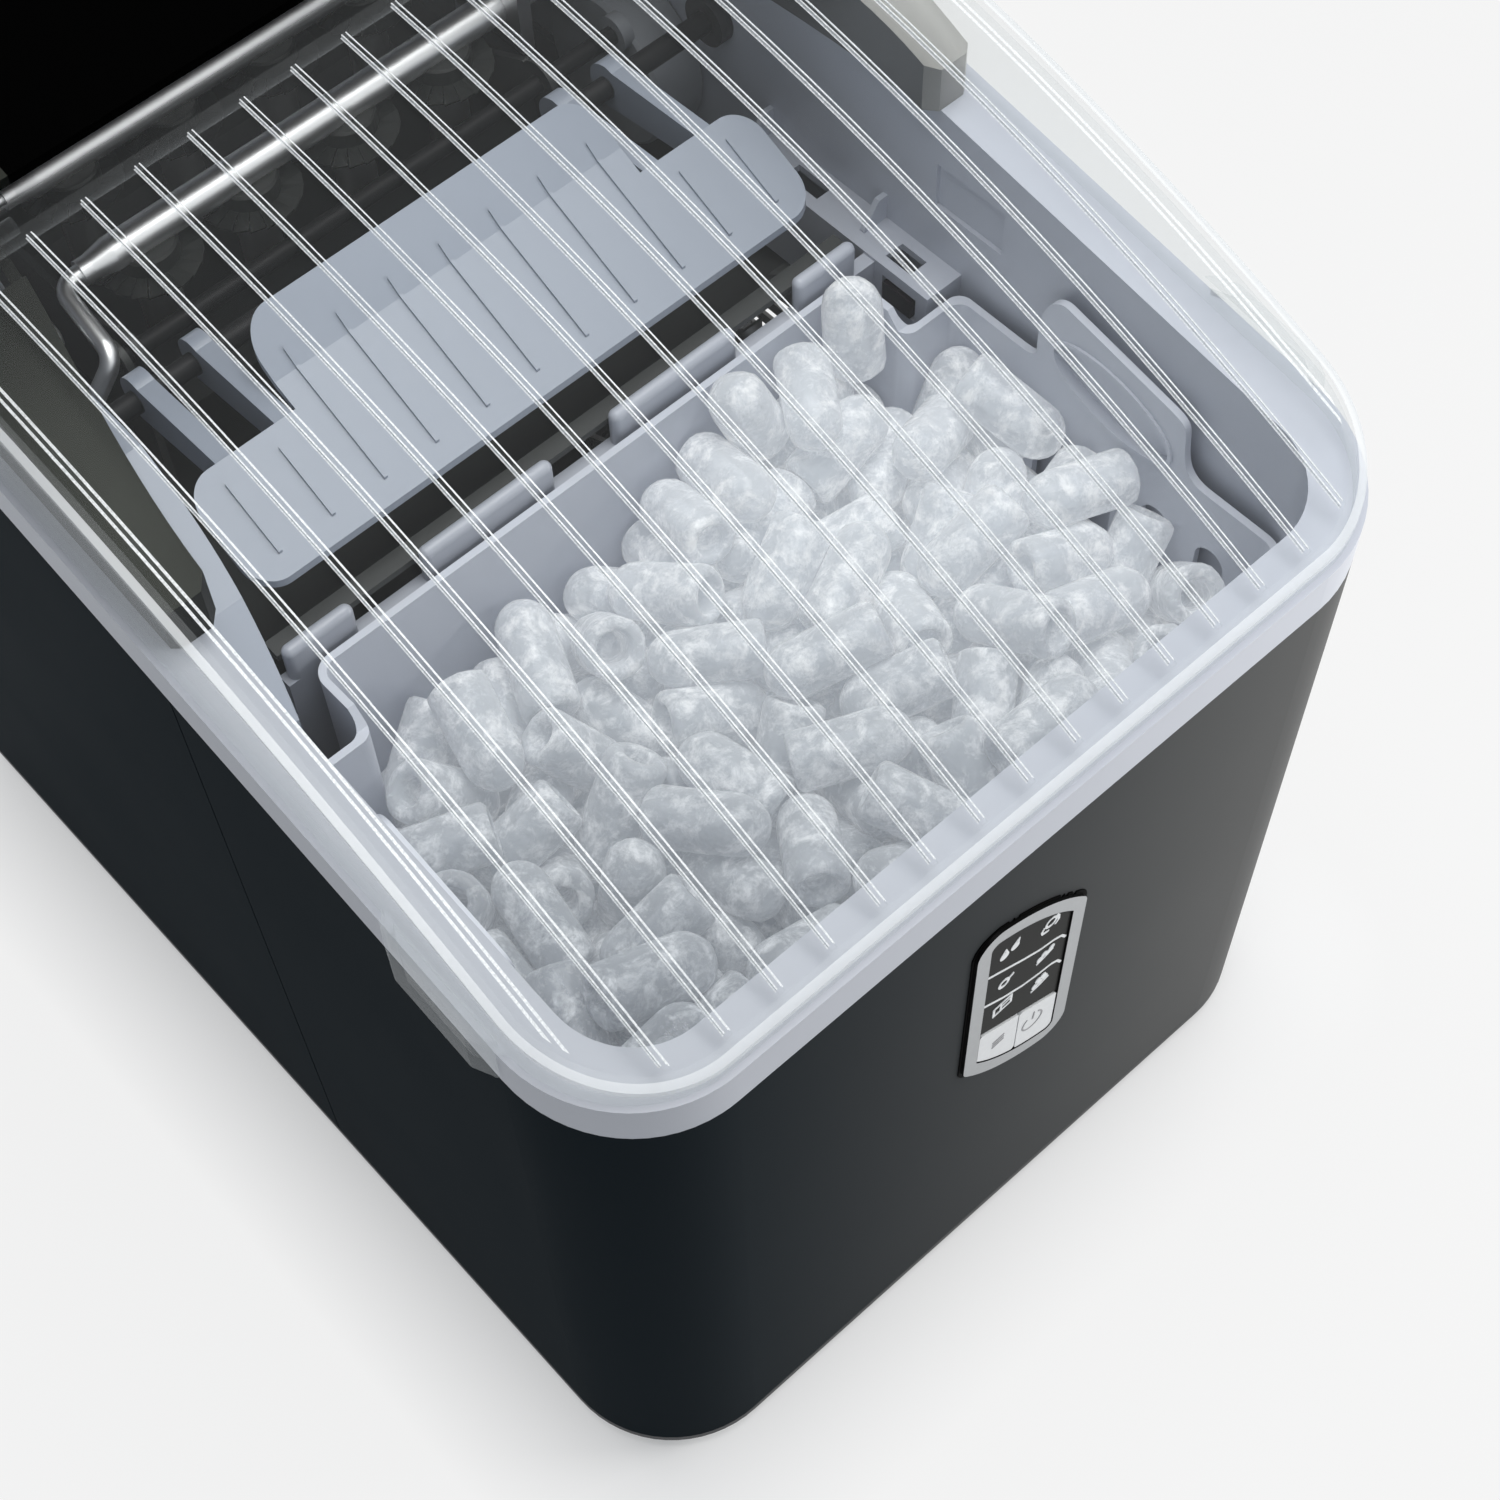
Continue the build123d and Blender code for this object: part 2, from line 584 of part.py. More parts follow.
def liner():
    top = BAND_H
    solid = body_block(0, 100, 400) & below_slope(top) & block(-WIDE, WIDE, -10, COVER_FRONT_Y - FIT,
                                                               0, 400)
    hollow = body_block(BAND_T, 90, 400) & below_slope(top - BAND_T)
    band = solid - below_slope(REST) - hollow
    lip = body_block(SHELL_T + FIT, 90, 400) - body_block(SHELL_T + FIT + 2, 80, 401)
    lip = lip & below_slope(top - 1) & block(-WIDE, WIDE, -10, COVER_FRONT_Y - FIT, 0, 400)
    band += lip - below_slope(-6)
    walls = tub_block(TUB_T, TUB_FLOOR_Z, 400) & below_slope(top)
    walls -= block(-WIDE, WIDE, DIVIDER_Y + DIVIDER_T, BODY_D + 10, -10, WALL_LOW_Z)
    body = band + walls - tub_block(0, TUB_FLOOR_Z + TUB_T, 400)
    # straight reservoir floor, then the drain spout under it
    body += divider()
    body += rod_z(0, DRAIN_Y, TUB_FLOOR_Z - 14, TUB_FLOOR_Z + 0.5, DRAIN_R + DRAIN_WALL)
    body -= rod_z(0, DRAIN_Y, TUB_FLOOR_Z - 15, TUB_FLOOR_Z + TUB_T + 1, DRAIN_R)
    # four posts that carry the basket
    post_x, neck_x = BASKET_HALF_W - 13, BASKET_NECK_HALF_W - 11
    post_d, neck_d = BASKET_FRONT_Y + 12, BASKET_BACK_Y - 12
    for x, d in ((-post_x, post_d), (post_x, post_d), (-neck_x, neck_d), (neck_x, neck_d)):
        body += rod_z(x, d, TUB_FLOOR_Z + 1, BASKET_FLOOR_Z - REST, POST_R)
    # shallow panel in the right wall, and the ledge below it
    x0, x1 = TUB_HALF_W - 1, TUB_HALF_W + 1.2
    d = DIVIDER_Y
    body -= block(x0, x1, d - 31.5, d - 8.5, SENSOR_Z1 + 13, SENSOR_Z1 + 27)
    body = right_ledge(body)
    # ledge that carries the evaporator trough
    near = block(-WIDE, WIDE, TROUGH_STEP_Y, BODY_D, 0, 400)
    ledge = tub_block(1, WALL_LOW_Z, TROUGH_FLOOR_Z - REST) - tub_block(-4, WALL_LOW_Z - 1, 400)
    body += ledge & near
    # holes for the pipes on the left and the water spout
    body -= rod_x(-WIDE, -TUB_HALF_W + 5, PIPE_OUT_Y, PIPE_OUT_Z, PIPE_R + 2.0)
    body -= rod_x(-WIDE, -TUB_HALF_W + 5, PIPE_OUT_Y + PIPE_STEP, PIPE_OUT_Z, PIPE_R + 2.0)
    body -= rod_x(-WIDE, -TUB_HALF_W + 5, SPOUT_Y, SPOUT_Z, SPOUT_R + 0.3)
    body -= rod_x(TUB_HALF_W - 5, WIDE, SHAFT_Y, SHAFT_Z, SHAFT_R + BUSH_T + 0.1)
    # pump hose and return chute pass through the divider
    body -= rod_y(HOSE_X, DIVIDER_Y - 2, DIVIDER_Y + DIVIDER_T + 2, HOSE_HIGH_Z, HOSE_R + 0.4)
    body -= block(CHUTE_X0 - 0.4, CHUTE_X1 + 0.4, DIVIDER_Y - 2, DIVIDER_Y + DIVIDER_T + 2,
                  TROUGH_FLOOR_Z - 2.4, TROUGH_FLOOR_Z + 14.4)
    return body




def cover_profile(inset):
    # rear cover seen from the side, between the body slope and its crowned top
    d0, d1 = COVER_FRONT_Y + inset, BODY_D - inset
    with BuildSketch(Plane.YZ) as sk:
        with BuildLine():
            top = Spline((fy(d0), COVER_TOP_Z - 4.5 - inset), (fy(d0 + 20), COVER_TOP_Z - 0.8 - inset),
                         (fy(d0 + 44), COVER_TOP_Z - inset), (fy(d1 - 14), COVER_TOP_Z - 3.2 - inset),
                         (fy(d1), COVER_BACK_Z - inset))
            low = slope_z(d0, REST) if inset == 0 else slope_z(d0, -12)
            back = slope_z(d1, REST) if inset == 0 else slope_z(d1, -12)
            Polyline(top @ 1, (fy(d1), back), (fy(d0), low), top @ 0)
        make_face()
    return Pos(-WIDE / 2, 0, 0) * extrude(sk.sketch, amount=WIDE)


def arm(inset):
    # one forward arm of the rear cover, on the right; it tapers to a blunt tip
    d0, d1 = ARM_TIP_Y + inset, COVER_FRONT_Y + 6
    out = ARM_OUT_X - inset
    with BuildSketch(Plane.XY) as plan:
        with BuildLine():
            tip = out - ARM_TIP_W + 2 * inset
            back = out - ARM_BACK_W + 2 * inset
            inner = Spline((tip, fy(d0 + 3)), (tip - 1.6, fy(d0 + 22)), (tip - 8.5, fy(d0 + 58)),
                           (back, fy(d1)))
            Polyline(inner @ 1, (out, fy(d1)), (out, fy(d0 + 1.5)), (out - 2, fy(d0)),
                     (tip + 3, fy(d0)), inner @ 0)
        make_face()
    column = extrude(plan.sketch, amount=400)
    low = BAND_H + REST if inset == 0 else -30.0
    floor = slope_z(d0, low), slope_z(d1, low)
    knee = PIVOT_Y - ARM_KNEE_L
    with BuildSketch(Plane.YZ) as side:
        with BuildLine():
            start = (fy(d0), slope_z(d0, BAND_H + ARM_TIP_H - inset))
            knee_pt = (fy(knee), lid_z(knee, LID_T + ARM_LID_GAP + inset))
            mid_d = (d0 + knee) / 2
            top = Spline(start, (fy(mid_d), lid_z(mid_d, LID_T + ARM_LID_GAP + 2.6 + inset)), knee_pt)
            Polyline(knee_pt, (fy(PIVOT_Y), PIVOT_Z + 0.5 - inset),
                     (fy(d1), PIVOT_Z + PIVOT_R - inset), (fy(d1), floor[1]), (fy(d0), floor[0]), start)
        make_face()
    return column & (Pos(-WIDE / 2, 0, 0) * extrude(side.sketch, amount=WIDE))


def both_sides(shape):
    return shape + mirror(shape, Plane.YZ)


def top_cover():
    outer = body_block(0, 200, 400) & cover_profile(0)
    inner = body_block(COVER_T, 190, 400) & cover_profile(COVER_T)
    shell = outer - inner
    # the front stays open under the top skin so that the ice can be seen and dropped
    free = ARM_OUT_X - ARM_BACK_W + 1
    shell -= block(-free, free, COVER_FRONT_Y - 1, COVER_FRONT_Y + 12, 150, COVER_TOP_Z - 4.5 - COVER_T)
    wall = TUB_HALF_W + TUB_T + FIT
    shell -= block(-wall, wall, COVER_FRONT_Y - 1, COVER_FRONT_Y + 12, 150,
                   400) & below_slope(BAND_H + REST)
    shell += both_sides(arm(0)) - both_sides(arm(COVER_T))
    for sx in (-1, 1):
        x0, x1 = sorted((sx * (KNUCKLE_X + KNUCKLE_GAP), sx * ARM_OUT_X))
        shell += rod_x(x0, x1, PIVOT_Y, PIVOT_Z, PIVOT_R)
        shell += block(x0, x1, PIVOT_Y, COVER_FRONT_Y + 2, PIVOT_Z - PIVOT_R, PIVOT_Z + PIVOT_R - 0.4)
    reach = KNUCKLE_X + KNUCKLE_GAP
    shell -= block(-reach, reach, PIVOT_Y - 14, PIVOT_Y + PIVOT_R + 1, PIVOT_Z - PIVOT_R - 1, 400)
    shell -= rod_x(-WIDE / 2, WIDE / 2, PIVOT_Y, PIVOT_Z, PIN_R + 0.05)
    # lip that drops inside the sheet-metal body
    near = block(-WIDE, WIDE, COVER_FRONT_Y, BODY_D, 0, 400)
    lip = body_block(SHELL_T + FIT, 200, 400) - body_block(SHELL_T + FIT + 2, 190, 401)
    lip = lip & near & below_slope(4)
    shell += lip - below_slope(-6)
    return shell


def lid_below(below, d1):
    # everything under the bowed lid surface, lowered by "below"
    d_front = -10.0
    steps = 8
    pts = [(fy(d), lid_z(d, below)) for d in (d_front + (d1 - d_front) * i / steps
                                              for i in range(steps + 1))]
    with BuildSketch(Plane.YZ) as sk:
        with BuildLine():
            top = Spline(*pts)
            Polyline(top @ 1, (fy(d1), 100), (fy(d_front), 100), top @ 0)
        make_face()
    return Pos(-WIDE / 2, 0, 0) * extrude(sk.sketch, amount=WIDE)


def lid_block(inset, z0, z1):
    half = LID_HALF_W - inset
    return rounded(half, LID_FRONT_Y + inset, PIVOT_Y, LID_R - inset, 0.5, z0, z1)


def grip_tab(inset):
    # finger tab that hangs over the rim band, right side
    x1 = LID_HALF_W + TAB_OUT - inset
    d0, d1 = TAB_Y0 + inset, TAB_Y1 - inset
    pts = [(LID_HALF_W - 1.5, d0 - 3), (x1 - 2.5, d0), (x1, d0 + 5), (x1, d1 - 5), (x1 - 2.5, d1),
           (LID_HALF_W - 1.5, d1 + 3)]
    face = make_face(Polyline(*[(x, fy(d)) for x, d in pts], close=True))
    column = extrude(face, amount=400)
    lift = 4.0 - inset
    return (column & below_slope(BAND_H + lift)) - below_slope(BAND_H - TAB_DROP - (0 if inset == 0 else 4))


def lid():
    outer = lid_block(0, 100, 400) & lid_below(0.0, PIVOT_Y + 1)
    inner = lid_block(LID_T, 90, 400) & lid_below(LID_T, PIVOT_Y + 1)
    inner += block(-LID_HALF_W + LID_T, LID_HALF_W - LID_T, PIVOT_Y - 2, PIVOT_Y + 1, 90,
                   lid_z(PIVOT_Y, LID_T))
    shell = outer - inner - below_slope(BAND_H + REST)
    slabs = [block(RIB_PITCH * (i - RIB_COUNT // 2) - RIB_W / 2, RIB_PITCH * (i - RIB_COUNT // 2)
                   + RIB_W / 2, 0, 226, 150, 400) for i in range(RIB_COUNT)]
    skin = (lid_block(3.6, 100, 400) & lid_below(-RIB_H, PIVOT_Y + 1)) - lid_below(0.4, PIVOT_Y + 1)
    for slab in slabs:
        shell += skin & slab
    tab = grip_tab(0) - grip_tab(1.8) - (body_block(-0.4, 100, 400) & below_slope(BAND_H + REST))
    tab -= lid_block(0.8, 90, 400)
    shell += both_sides(tab)
    # the arms of the rear cover take the corners; the barrel runs between them
    for sx in (-1, 1):
        x0, x1 = sorted((sx * (KNUCKLE_X - 0.4), sx * (ARM_OUT_X + 1.0)))
        shell -= block(x0, x1, PIVOT_Y - 12, PIVOT_Y + 10, 90, 400)
        x0, x1 = sorted((sx * (LID_HALF_W - LID_T), sx * LID_HALF_W))
        shell += rod_x(x0, x1, PIVOT_Y, PIVOT_Z, PIVOT_R)
    shell += rod_x(-KNUCKLE_X, KNUCKLE_X, PIVOT_Y, PIVOT_Z, PIVOT_R)
    for sx in (-1, 1):
        x0, x1 = sorted((sx * (KNUCKLE_X - PIN_LEN / 2), sx * (ARM_OUT_X + 0.4)))
        shell -= rod_x(x0, x1, PIVOT_Y, PIVOT_Z, PIN_R + RUN)
    return shell


def hinge_pins():
    x1 = ARM_OUT_X
    x0 = x1 - PIN_LEN
    return [rod_x(x0, x1, PIVOT_Y, PIVOT_Z, PIN_R), rod_x(-x1, -x0, PIVOT_Y, PIVOT_Z, PIN_R)]


def basket_plan(inset):
    w, n = BASKET_HALF_W - inset, BASKET_NECK_HALF_W - inset
    d0, ds, d1 = BASKET_FRONT_Y + inset, BASKET_STEP_Y - inset, BASKET_BACK_Y - inset
    pts = [(-w, d0), (w, d0), (w, ds), (n, ds), (n, d1), (-n, d1), (-n, ds), (-w, ds)]
    sk = make_face(Polyline(*[(x, fy(d)) for x, d in pts], close=True))
    r = BASKET_R - inset
    ends = sk.vertices().group_by(Axis.Y)
    sk = fillet(ends[0], r)
    sk = fillet(sk.vertices().group_by(Axis.Y)[-1], r - 3)
    steps = [v for v in sk.vertices() if abs(v.Y - fy(ds)) < 0.01]
    return fillet(steps, 4.0)


def basket_profile():
    f, s, b, g = BASKET_FRONT_TOP_Z, BASKET_SIDE_TOP_Z, BASKET_BACK_TOP_Z, GRIP_TOP_Z
    a, c = GRIP_Y0, GRIP_Y1
    low = g - GRIP_DROP
    slope = (c - a - 14, GRIP_DROP)
    with BuildSketch(Plane.YZ) as sk:
        with BuildLine():
            l1 = Polyline((fy(-5), 0), (fy(-5), f), (fy(a - 8), f))
            l2 = Spline(l1 @ 1, (fy(a - 1), f + 4), (fy(a + 1), low - 4), (fy(a + 7), low),
                        tangents=((1, 0), slope))
            l3 = Line(l2 @ 1, (fy(c - 7), g))
            l4 = Spline(l3 @ 1, (fy(c - 0.5), g - 4), (fy(c + 1.5), s + 4), (fy(c + 7), s),
                        tangents=(slope, (1, 0)))
            Polyline(l4 @ 1, (fy(BASKET_STEP_Y + 1), s), (fy(BASKET_STEP_Y + 5), b),
                     (fy(BASKET_BACK_Y + 9), b), (fy(BASKET_BACK_Y + 9), 0), l1 @ 0)
        make_face()
    return Pos(-WIDE / 2, 0, 0) * extrude(sk.sketch, amount=WIDE)


def grip_oval(x0, x1, grow):
    # the oval of a finger recess between two planes; it leans as the grip's top does
    lean = math.degrees(math.atan2(GRIP_DROP, GRIP_Y1 - GRIP_Y0 - 14))
    oval = Rot(0, 0, lean) * Ellipse(GRIP_SLOT_L / 2 + grow, GRIP_SLOT_H / 2 + grow)
    oval = Pos(fy((GRIP_Y0 + GRIP_Y1) / 2), GRIP_SLOT_Z) * oval
    return Pos(x0, 0, 0) * extrude(Plane.YZ * oval, amount=x1 - x0)


def ice_basket():
    top = GRIP_TOP_Z + 5
    z0 = BASKET_FLOOR_Z
    outer = Pos(0, 0, z0) * extrude(basket_plan(0), amount=top - z0)
    inner = Pos(0, 0, z0 + BASKET_T) * extrude(basket_plan(BASKET_T), amount=top - z0)
    # a grip rises on both sides, each with a rimmed finger recess pressed outwards
    walls = outer - inner
    face, back = BASKET_HALF_W - BASKET_T, BASKET_HALF_W + GRIP_BULGE
    walls += both_sides(grip_oval(face, back, GRIP_WALL))
    walls += both_sides(grip_oval(face - GRIP_RIM_H, face + 0.1, GRIP_RIM_W))
    walls = walls & basket_profile()
    walls -= both_sides(grip_oval(face - 2, back - GRIP_WALL, 0))
    for i in range(4):
        d = SIDE_SLOT_FIRST_Y + SIDE_SLOT_PITCH * i
        cut = slot_cut_x(BASKET_HALF_W - 4, BASKET_HALF_W + 2, d, SIDE_SLOT_LOW_Z, SIDE_SLOT_TOP_Z,
                         SIDE_SLOT_W)
        walls -= both_sides(cut)
    for i in range(6):
        for j in range(4):
            x = -75 + 30 * i
            d = BASKET_FRONT_Y + 24 + 22 * j
            walls -= block(x - 9, x + 9, d - 2, d + 2, z0 - 1, z0 + BASKET_T + 1)
    return walls


def evaporator():
    z = TUBE_Z
    mid = (TUBE_FRONT_Y + TUBE_BACK_Y) / 2
    turn = (TUBE_BACK_Y - TUBE_FRONT_Y) / 2
    with BuildLine(Plane.XY.offset(z)) as path:
        a = Line((TUBE_LEFT_X, fy(TUBE_FRONT_Y)), (TUBE_RIGHT_X, fy(TUBE_FRONT_Y)))
        b = CenterArc((TUBE_RIGHT_X, fy(mid)), turn, -90, 180)
        Line(b @ 1, (TUBE_LEFT_X, fy(TUBE_BACK_Y)))
    start = Plane(origin=a @ 0, z_dir=(1, 0, 0))
    body = sweep(start * Circle(TUBE_R), path=path.wires()[0])
    for d in (TUBE_FRONT_Y, TUBE_BACK_Y):
        cone = Cone(PIPE_R + 1.0, TUBE_R, 6, align=(Align.CENTER, Align.CENTER, Align.MIN))
        body += Pos(TUBE_LEFT_X - 6, fy(d), z) * Rot(0, 90, 0) * cone
        body += rod_x(TUBE_LEFT_X - 9, TUBE_LEFT_X - 5, d, z, PIPE_R + 1.0)
        for i in range(FINGER_COUNT):
            x = FINGER_PITCH * (i - (FINGER_COUNT - 1) / 2)
            tip = FINGER_LOW_Z + FINGER_R
            body += rod_z(x, d, tip, z - TUBE_R + 1.5, FINGER_R)
            body += Pos(x, fy(d), tip) * Sphere(FINGER_R)
            body += rod_z(x, d, z - TUBE_R - 3, z - TUBE_R + 2, FINGER_R + 2.2)
    return body


def evaporator_bracket():
    x0, x1 = 65.5, 69.5
    plate = block(x0, x1, TUBE_FRONT_Y - 10, TUB_BACK_Y - 0.1, TUBE_Z - 10, TUBE_Z + 10)
    plate += block(x0 - 8, x1 + 8, TUB_BACK_Y - 3, TUB_BACK_Y - 0.1, TUBE_Z - 12, TUBE_Z + 12)
    for d in (TUBE_FRONT_Y, TUBE_BACK_Y):
        plate -= rod_x(x0 - 1, x1 + 1, d, TUBE_Z, TUBE_R + 0.1)
    return plate


def suction_line():
    z = PIPE_OUT_Z
    y = PIPE_OUT_Y + PIPE_STEP
    x = PIPE_SIDE_X
    left = TUBE_LEFT_X - 22
    pts = [(TUBE_LEFT_X - 9, TUBE_BACK_Y, TUBE_Z), (left, TUBE_BACK_Y, TUBE_Z),
           (left - 2, y, TUBE_Z - 5), (left - 13, y, z), (x, y, z)]
    pts += [(x, y, LOOP_Z), (COMP_X - 32, y, LOOP_Z), (COMP_X - 32, COMP_Y + 20, LOOP_Z),
            (COMP_X - 32, COMP_Y + 20, COMP_Z + COMP_H + 2)]
    return pipe(pts, PIPE_R, 3.4)


def feed_line():
    z = PIPE_OUT_Z
    y = PIPE_OUT_Y
    x = PIPE_SIDE_X
    left = TUBE_LEFT_X - 15
    pts = [(TUBE_LEFT_X - 9, TUBE_FRONT_Y, TUBE_Z), (left, TUBE_FRONT_Y, TUBE_Z),
           (left - 1.5, y, TUBE_Z - 5), (left - 15, y, z), (x, y, z)]
    pts += [(x, y, DRIER_Z), (x, DRIER_Y, DRIER_Z), (DRIER_X0, DRIER_Y, DRIER_Z)]
    return pipe(pts, PIPE_R, 5)


def liquid_line():
    x = (COND_X0 + COND_X1) / 2
    z = COND_Z1 - 8
    return pipe([(DRIER_X1, DRIER_Y, DRIER_Z), (x, DRIER_Y, DRIER_Z), (x, DRIER_Y, z),
                 (x, COND_Y0, z)], PIPE_R, 5)


def discharge_line():
    x = (COND_X0 + COND_X1) / 2
    y = COMP_Y + 20
    z, far = COND_Z1 - 10, COND_Y1 + 13
    pts = [(COMP_X + 28, y, COMP_Z + COMP_H + 2), (COMP_X + 28, y, LOOP_Z), (COMP_X + 28, far, LOOP_Z),
           (x, far, LOOP_Z), (x, far, z), (x, COND_Y1, z)]
    return pipe(pts, PIPE_R, 5)


def pipe_grommets():
    out = []
    for d in (PIPE_OUT_Y, PIPE_OUT_Y + PIPE_STEP):
        ring = rod_x(-TUB_HALF_W - TUB_T, -TUB_HALF_W, d, PIPE_OUT_Z, PIPE_R + 1.9)
        ring += rod_x(-TUB_HALF_W, -TUB_HALF_W + 1.6, d, PIPE_OUT_Z, PIPE_R + 3.6)
        out.append(ring - rod_x(-WIDE, -TUB_HALF_W + 5, d, PIPE_OUT_Z, PIPE_R + 0.1))
    return out


def evaporator_trough():
    half = TUB_HALF_W - TROUGH_GAP
    t = TROUGH_T
    top = TROUGH_TOP_Z
    d_back = TUB_BACK_Y - TROUGH_GAP
    floor = TROUGH_FLOOR_Z

    def solid(grow, x):
        # side section of the trough; grow is its wall
        r = CHUTE_R + grow
        d_top = SHAFT_Y - math.sqrt(r ** 2 - (SHAFT_Z - top) ** 2)
        d_mid = SHAFT_Y - r * math.cos(math.radians(45))
        z_mid = SHAFT_Z - r * math.sin(math.radians(45))
        lip = TROUGH_STEP_Y + (0 if grow == 0 else -t)
        with BuildSketch(Plane.YZ) as sk:
            with BuildLine():
                arc = ThreePointArc((fy(d_top), top), (fy(d_mid), z_mid), (fy(SHAFT_Y), SHAFT_Z - r))
                Polyline(arc @ 1, (fy(lip), SHAFT_Z - r), (fy(lip), floor + t - grow),
                         (fy(d_back - t + grow), floor + t - grow), (fy(d_back - t + grow), top), arc @ 0)
            make_face()
        return Pos(-x, 0, 0) * extrude(sk.sketch, amount=2 * x)

    body = solid(t, half) & tub_block(-TROUGH_GAP, 100, 400)
    body -= solid(0, half - t) & tub_block(-TROUGH_GAP - t, 90, 401)
    body -= block(-half + t, half - t, TROUGH_STEP_Y - 4, TROUGH_STEP_Y + 1, SHAFT_Z - CHUTE_R, top + 1)
    # side walls stop below the gear motors
    d_lip = SHAFT_Y - math.sqrt((CHUTE_R + t) ** 2 - (SHAFT_Z - top) ** 2)
    body += block(-half, half, DIVIDER_Y + DIVIDER_T + 0.1, d_lip + 1.0, top - 2, top)
    for sx in (-1, 1):
        x0, x1 = sorted((sx * TROUGH_WING_X, sx * WIDE))
        body -= block(x0, x1, 140, BODY_D, TROUGH_SIDE_Z, 300)
    # return chute to the reservoir
    body += block(CHUTE_X0, CHUTE_X1, DIVIDER_Y - 1, TROUGH_STEP_Y, floor - 2, floor + 14)
    body -= block(CHUTE_X0 + 2, CHUTE_X1 - 2, DIVIDER_Y - 5, TROUGH_STEP_Y + 1, floor, floor + 12)
    # bearing post of the tray rod
    x0 = -TRAY_HALF_W - 4
    post = block(x0, x0 + 2, TRAY_PIVOT_Y - 8, TRAY_PIVOT_Y + 4, floor, TRAY_PIVOT_Z)
    post += rod_x(x0, x0 + 2, TRAY_PIVOT_Y, TRAY_PIVOT_Z, 5.5)
    body += post - rod_x(x0 - 2, x0 + 4, TRAY_PIVOT_Y, TRAY_PIVOT_Z, TRAY_PIN_R + RUN)
    return body


def water_tray():
    w, t = TRAY_HALF_W, TRAY_T
    section = [(TRAY_FRONT_Y, TRAY_TOP_Z), (TRAY_FRONT_Y, TRAY_LOW_Z + 6),
               (TRAY_FRONT_Y + 6, TRAY_LOW_Z), (TRAY_BACK_Y - 8, TRAY_LOW_Z),
               (TRAY_BACK_Y, TRAY_LOW_Z + 8), (TRAY_BACK_Y, TRAY_TOP_Z)]
    inner = [(TRAY_FRONT_Y + t, TRAY_TOP_Z + 5), (TRAY_FRONT_Y + t, TRAY_LOW_Z + 7),
             (TRAY_FRONT_Y + 7, TRAY_LOW_Z + t), (TRAY_BACK_Y - 9, TRAY_LOW_Z + t),
             (TRAY_BACK_Y - t, TRAY_LOW_Z + 9), (TRAY_BACK_Y - t, TRAY_TOP_Z + 5)]
    body = side_prism(section, -w, w) - side_prism(inner, -w + t, w - t)
    for sx in (-1, 1):
        x0, x1 = sorted((sx * (w - t), sx * w))
        d, z, r = TRAY_PIVOT_Y, TRAY_PIVOT_Z, TRAY_LUG_R
        lug = rod_x(x0, x1, d, z, r)
        lug += side_prism([(d - r * 0.8, z - 3), (d + r * 0.9, z + 4), (TRAY_FRONT_Y + 22, TRAY_TOP_Z),
                           (TRAY_FRONT_Y + 22, TRAY_TOP_Z - 8), (TRAY_FRONT_Y, TRAY_TOP_Z - 10)], x0, x1)
        body += lug
    return body - rod_x(-WIDE, WIDE, TRAY_PIVOT_Y, TRAY_PIVOT_Z, TRAY_PIN_R)


def tray_rod():
    return rod_x(-TRAY_HALF_W - 4.5, TUB_HALF_W - MOTOR_T - 2.6, TRAY_PIVOT_Y, TRAY_PIVOT_Z, TRAY_PIN_R)


def gear_motor(side, radius, depth, z, shaft_depth, shaft_z):
    # flat synchronous gear motor on a side wall; its boss faces the middle
    x0, x1 = sorted((side * (TUB_HALF_W - 0.1), side * (TUB_HALF_W - MOTOR_T)))
    body = rod_x(x0, x1, depth, z, radius)
    rim = body.edges().filter_by(GeomType.CIRCLE)
    body = chamfer(rim, 1.0)
    x2, x3 = sorted((side * (TUB_HALF_W - MOTOR_T - 2.5), side * (TUB_HALF_W - MOTOR_T + 1)))
    body += rod_x(x2, x3, shaft_depth, shaft_z, MOTOR_BOSS_R)
    return body


def gear_cover():
    z0, z1, t = GEAR_COVER_LOW_Z, GEAR_COVER_TOP_Z, GEAR_COVER_T

    wall, d0 = -TUB_HALF_W, GEAR_COVER_TIP_Y

    def plan(inset):
        with BuildSketch(Plane.XY) as sk:
            with BuildLine():
                edge = Spline((wall + 9 - inset, fy(d0 + inset)), (wall + 13.5 - inset, fy(d0 + 16)),
                              (wall + 17.5 - inset, fy(d0 + 36)), (wall + 20 - inset, fy(d0 + 61)),
                              (wall + 20 - inset, fy(GEAR_COVER_END_Y - inset)))
                Polyline(edge @ 1, (wall, fy(GEAR_COVER_END_Y - inset)), (wall, fy(d0 + inset)), edge @ 0)
            make_face()
        return sk.sketch

    def hood(inset):
        # the top falls towards the front with the rim
        pts = [(d0 - 4, z0 - 5), (d0 - 4, z1 - 30 - inset), (d0 + 26, z1 - 14 - inset),
               (d0 + 66, z1 - inset)]
        pts += [(GEAR_COVER_END_Y + 9, z1 - inset), (GEAR_COVER_END_Y + 9, z0 - 5)]
        return side_prism(pts, -WIDE, 0)

    outer = (Pos(0, 0, z0) * extrude(plan(0), amount=80)) & hood(0)
    inner = (Pos(0, 0, z0 - 1) * extrude(plan(t), amount=82)) & hood(t)
    body = outer - inner - block(-WIDE, -TUB_HALF_W + 0.1, 0, 400, 0, 400)
    body -= rod_x(wall + 13, wall + 28, SHAFT_Y, SHAFT_Z, MOTOR_BOSS_R + 0.6)
    # window of the left ice sensor
    return body - block(wall + 6, wall + 18, d0 + 9.5, d0 + 17.5, SENSOR_Z0 + 0.5, SENSOR_Z1 - 0.5)



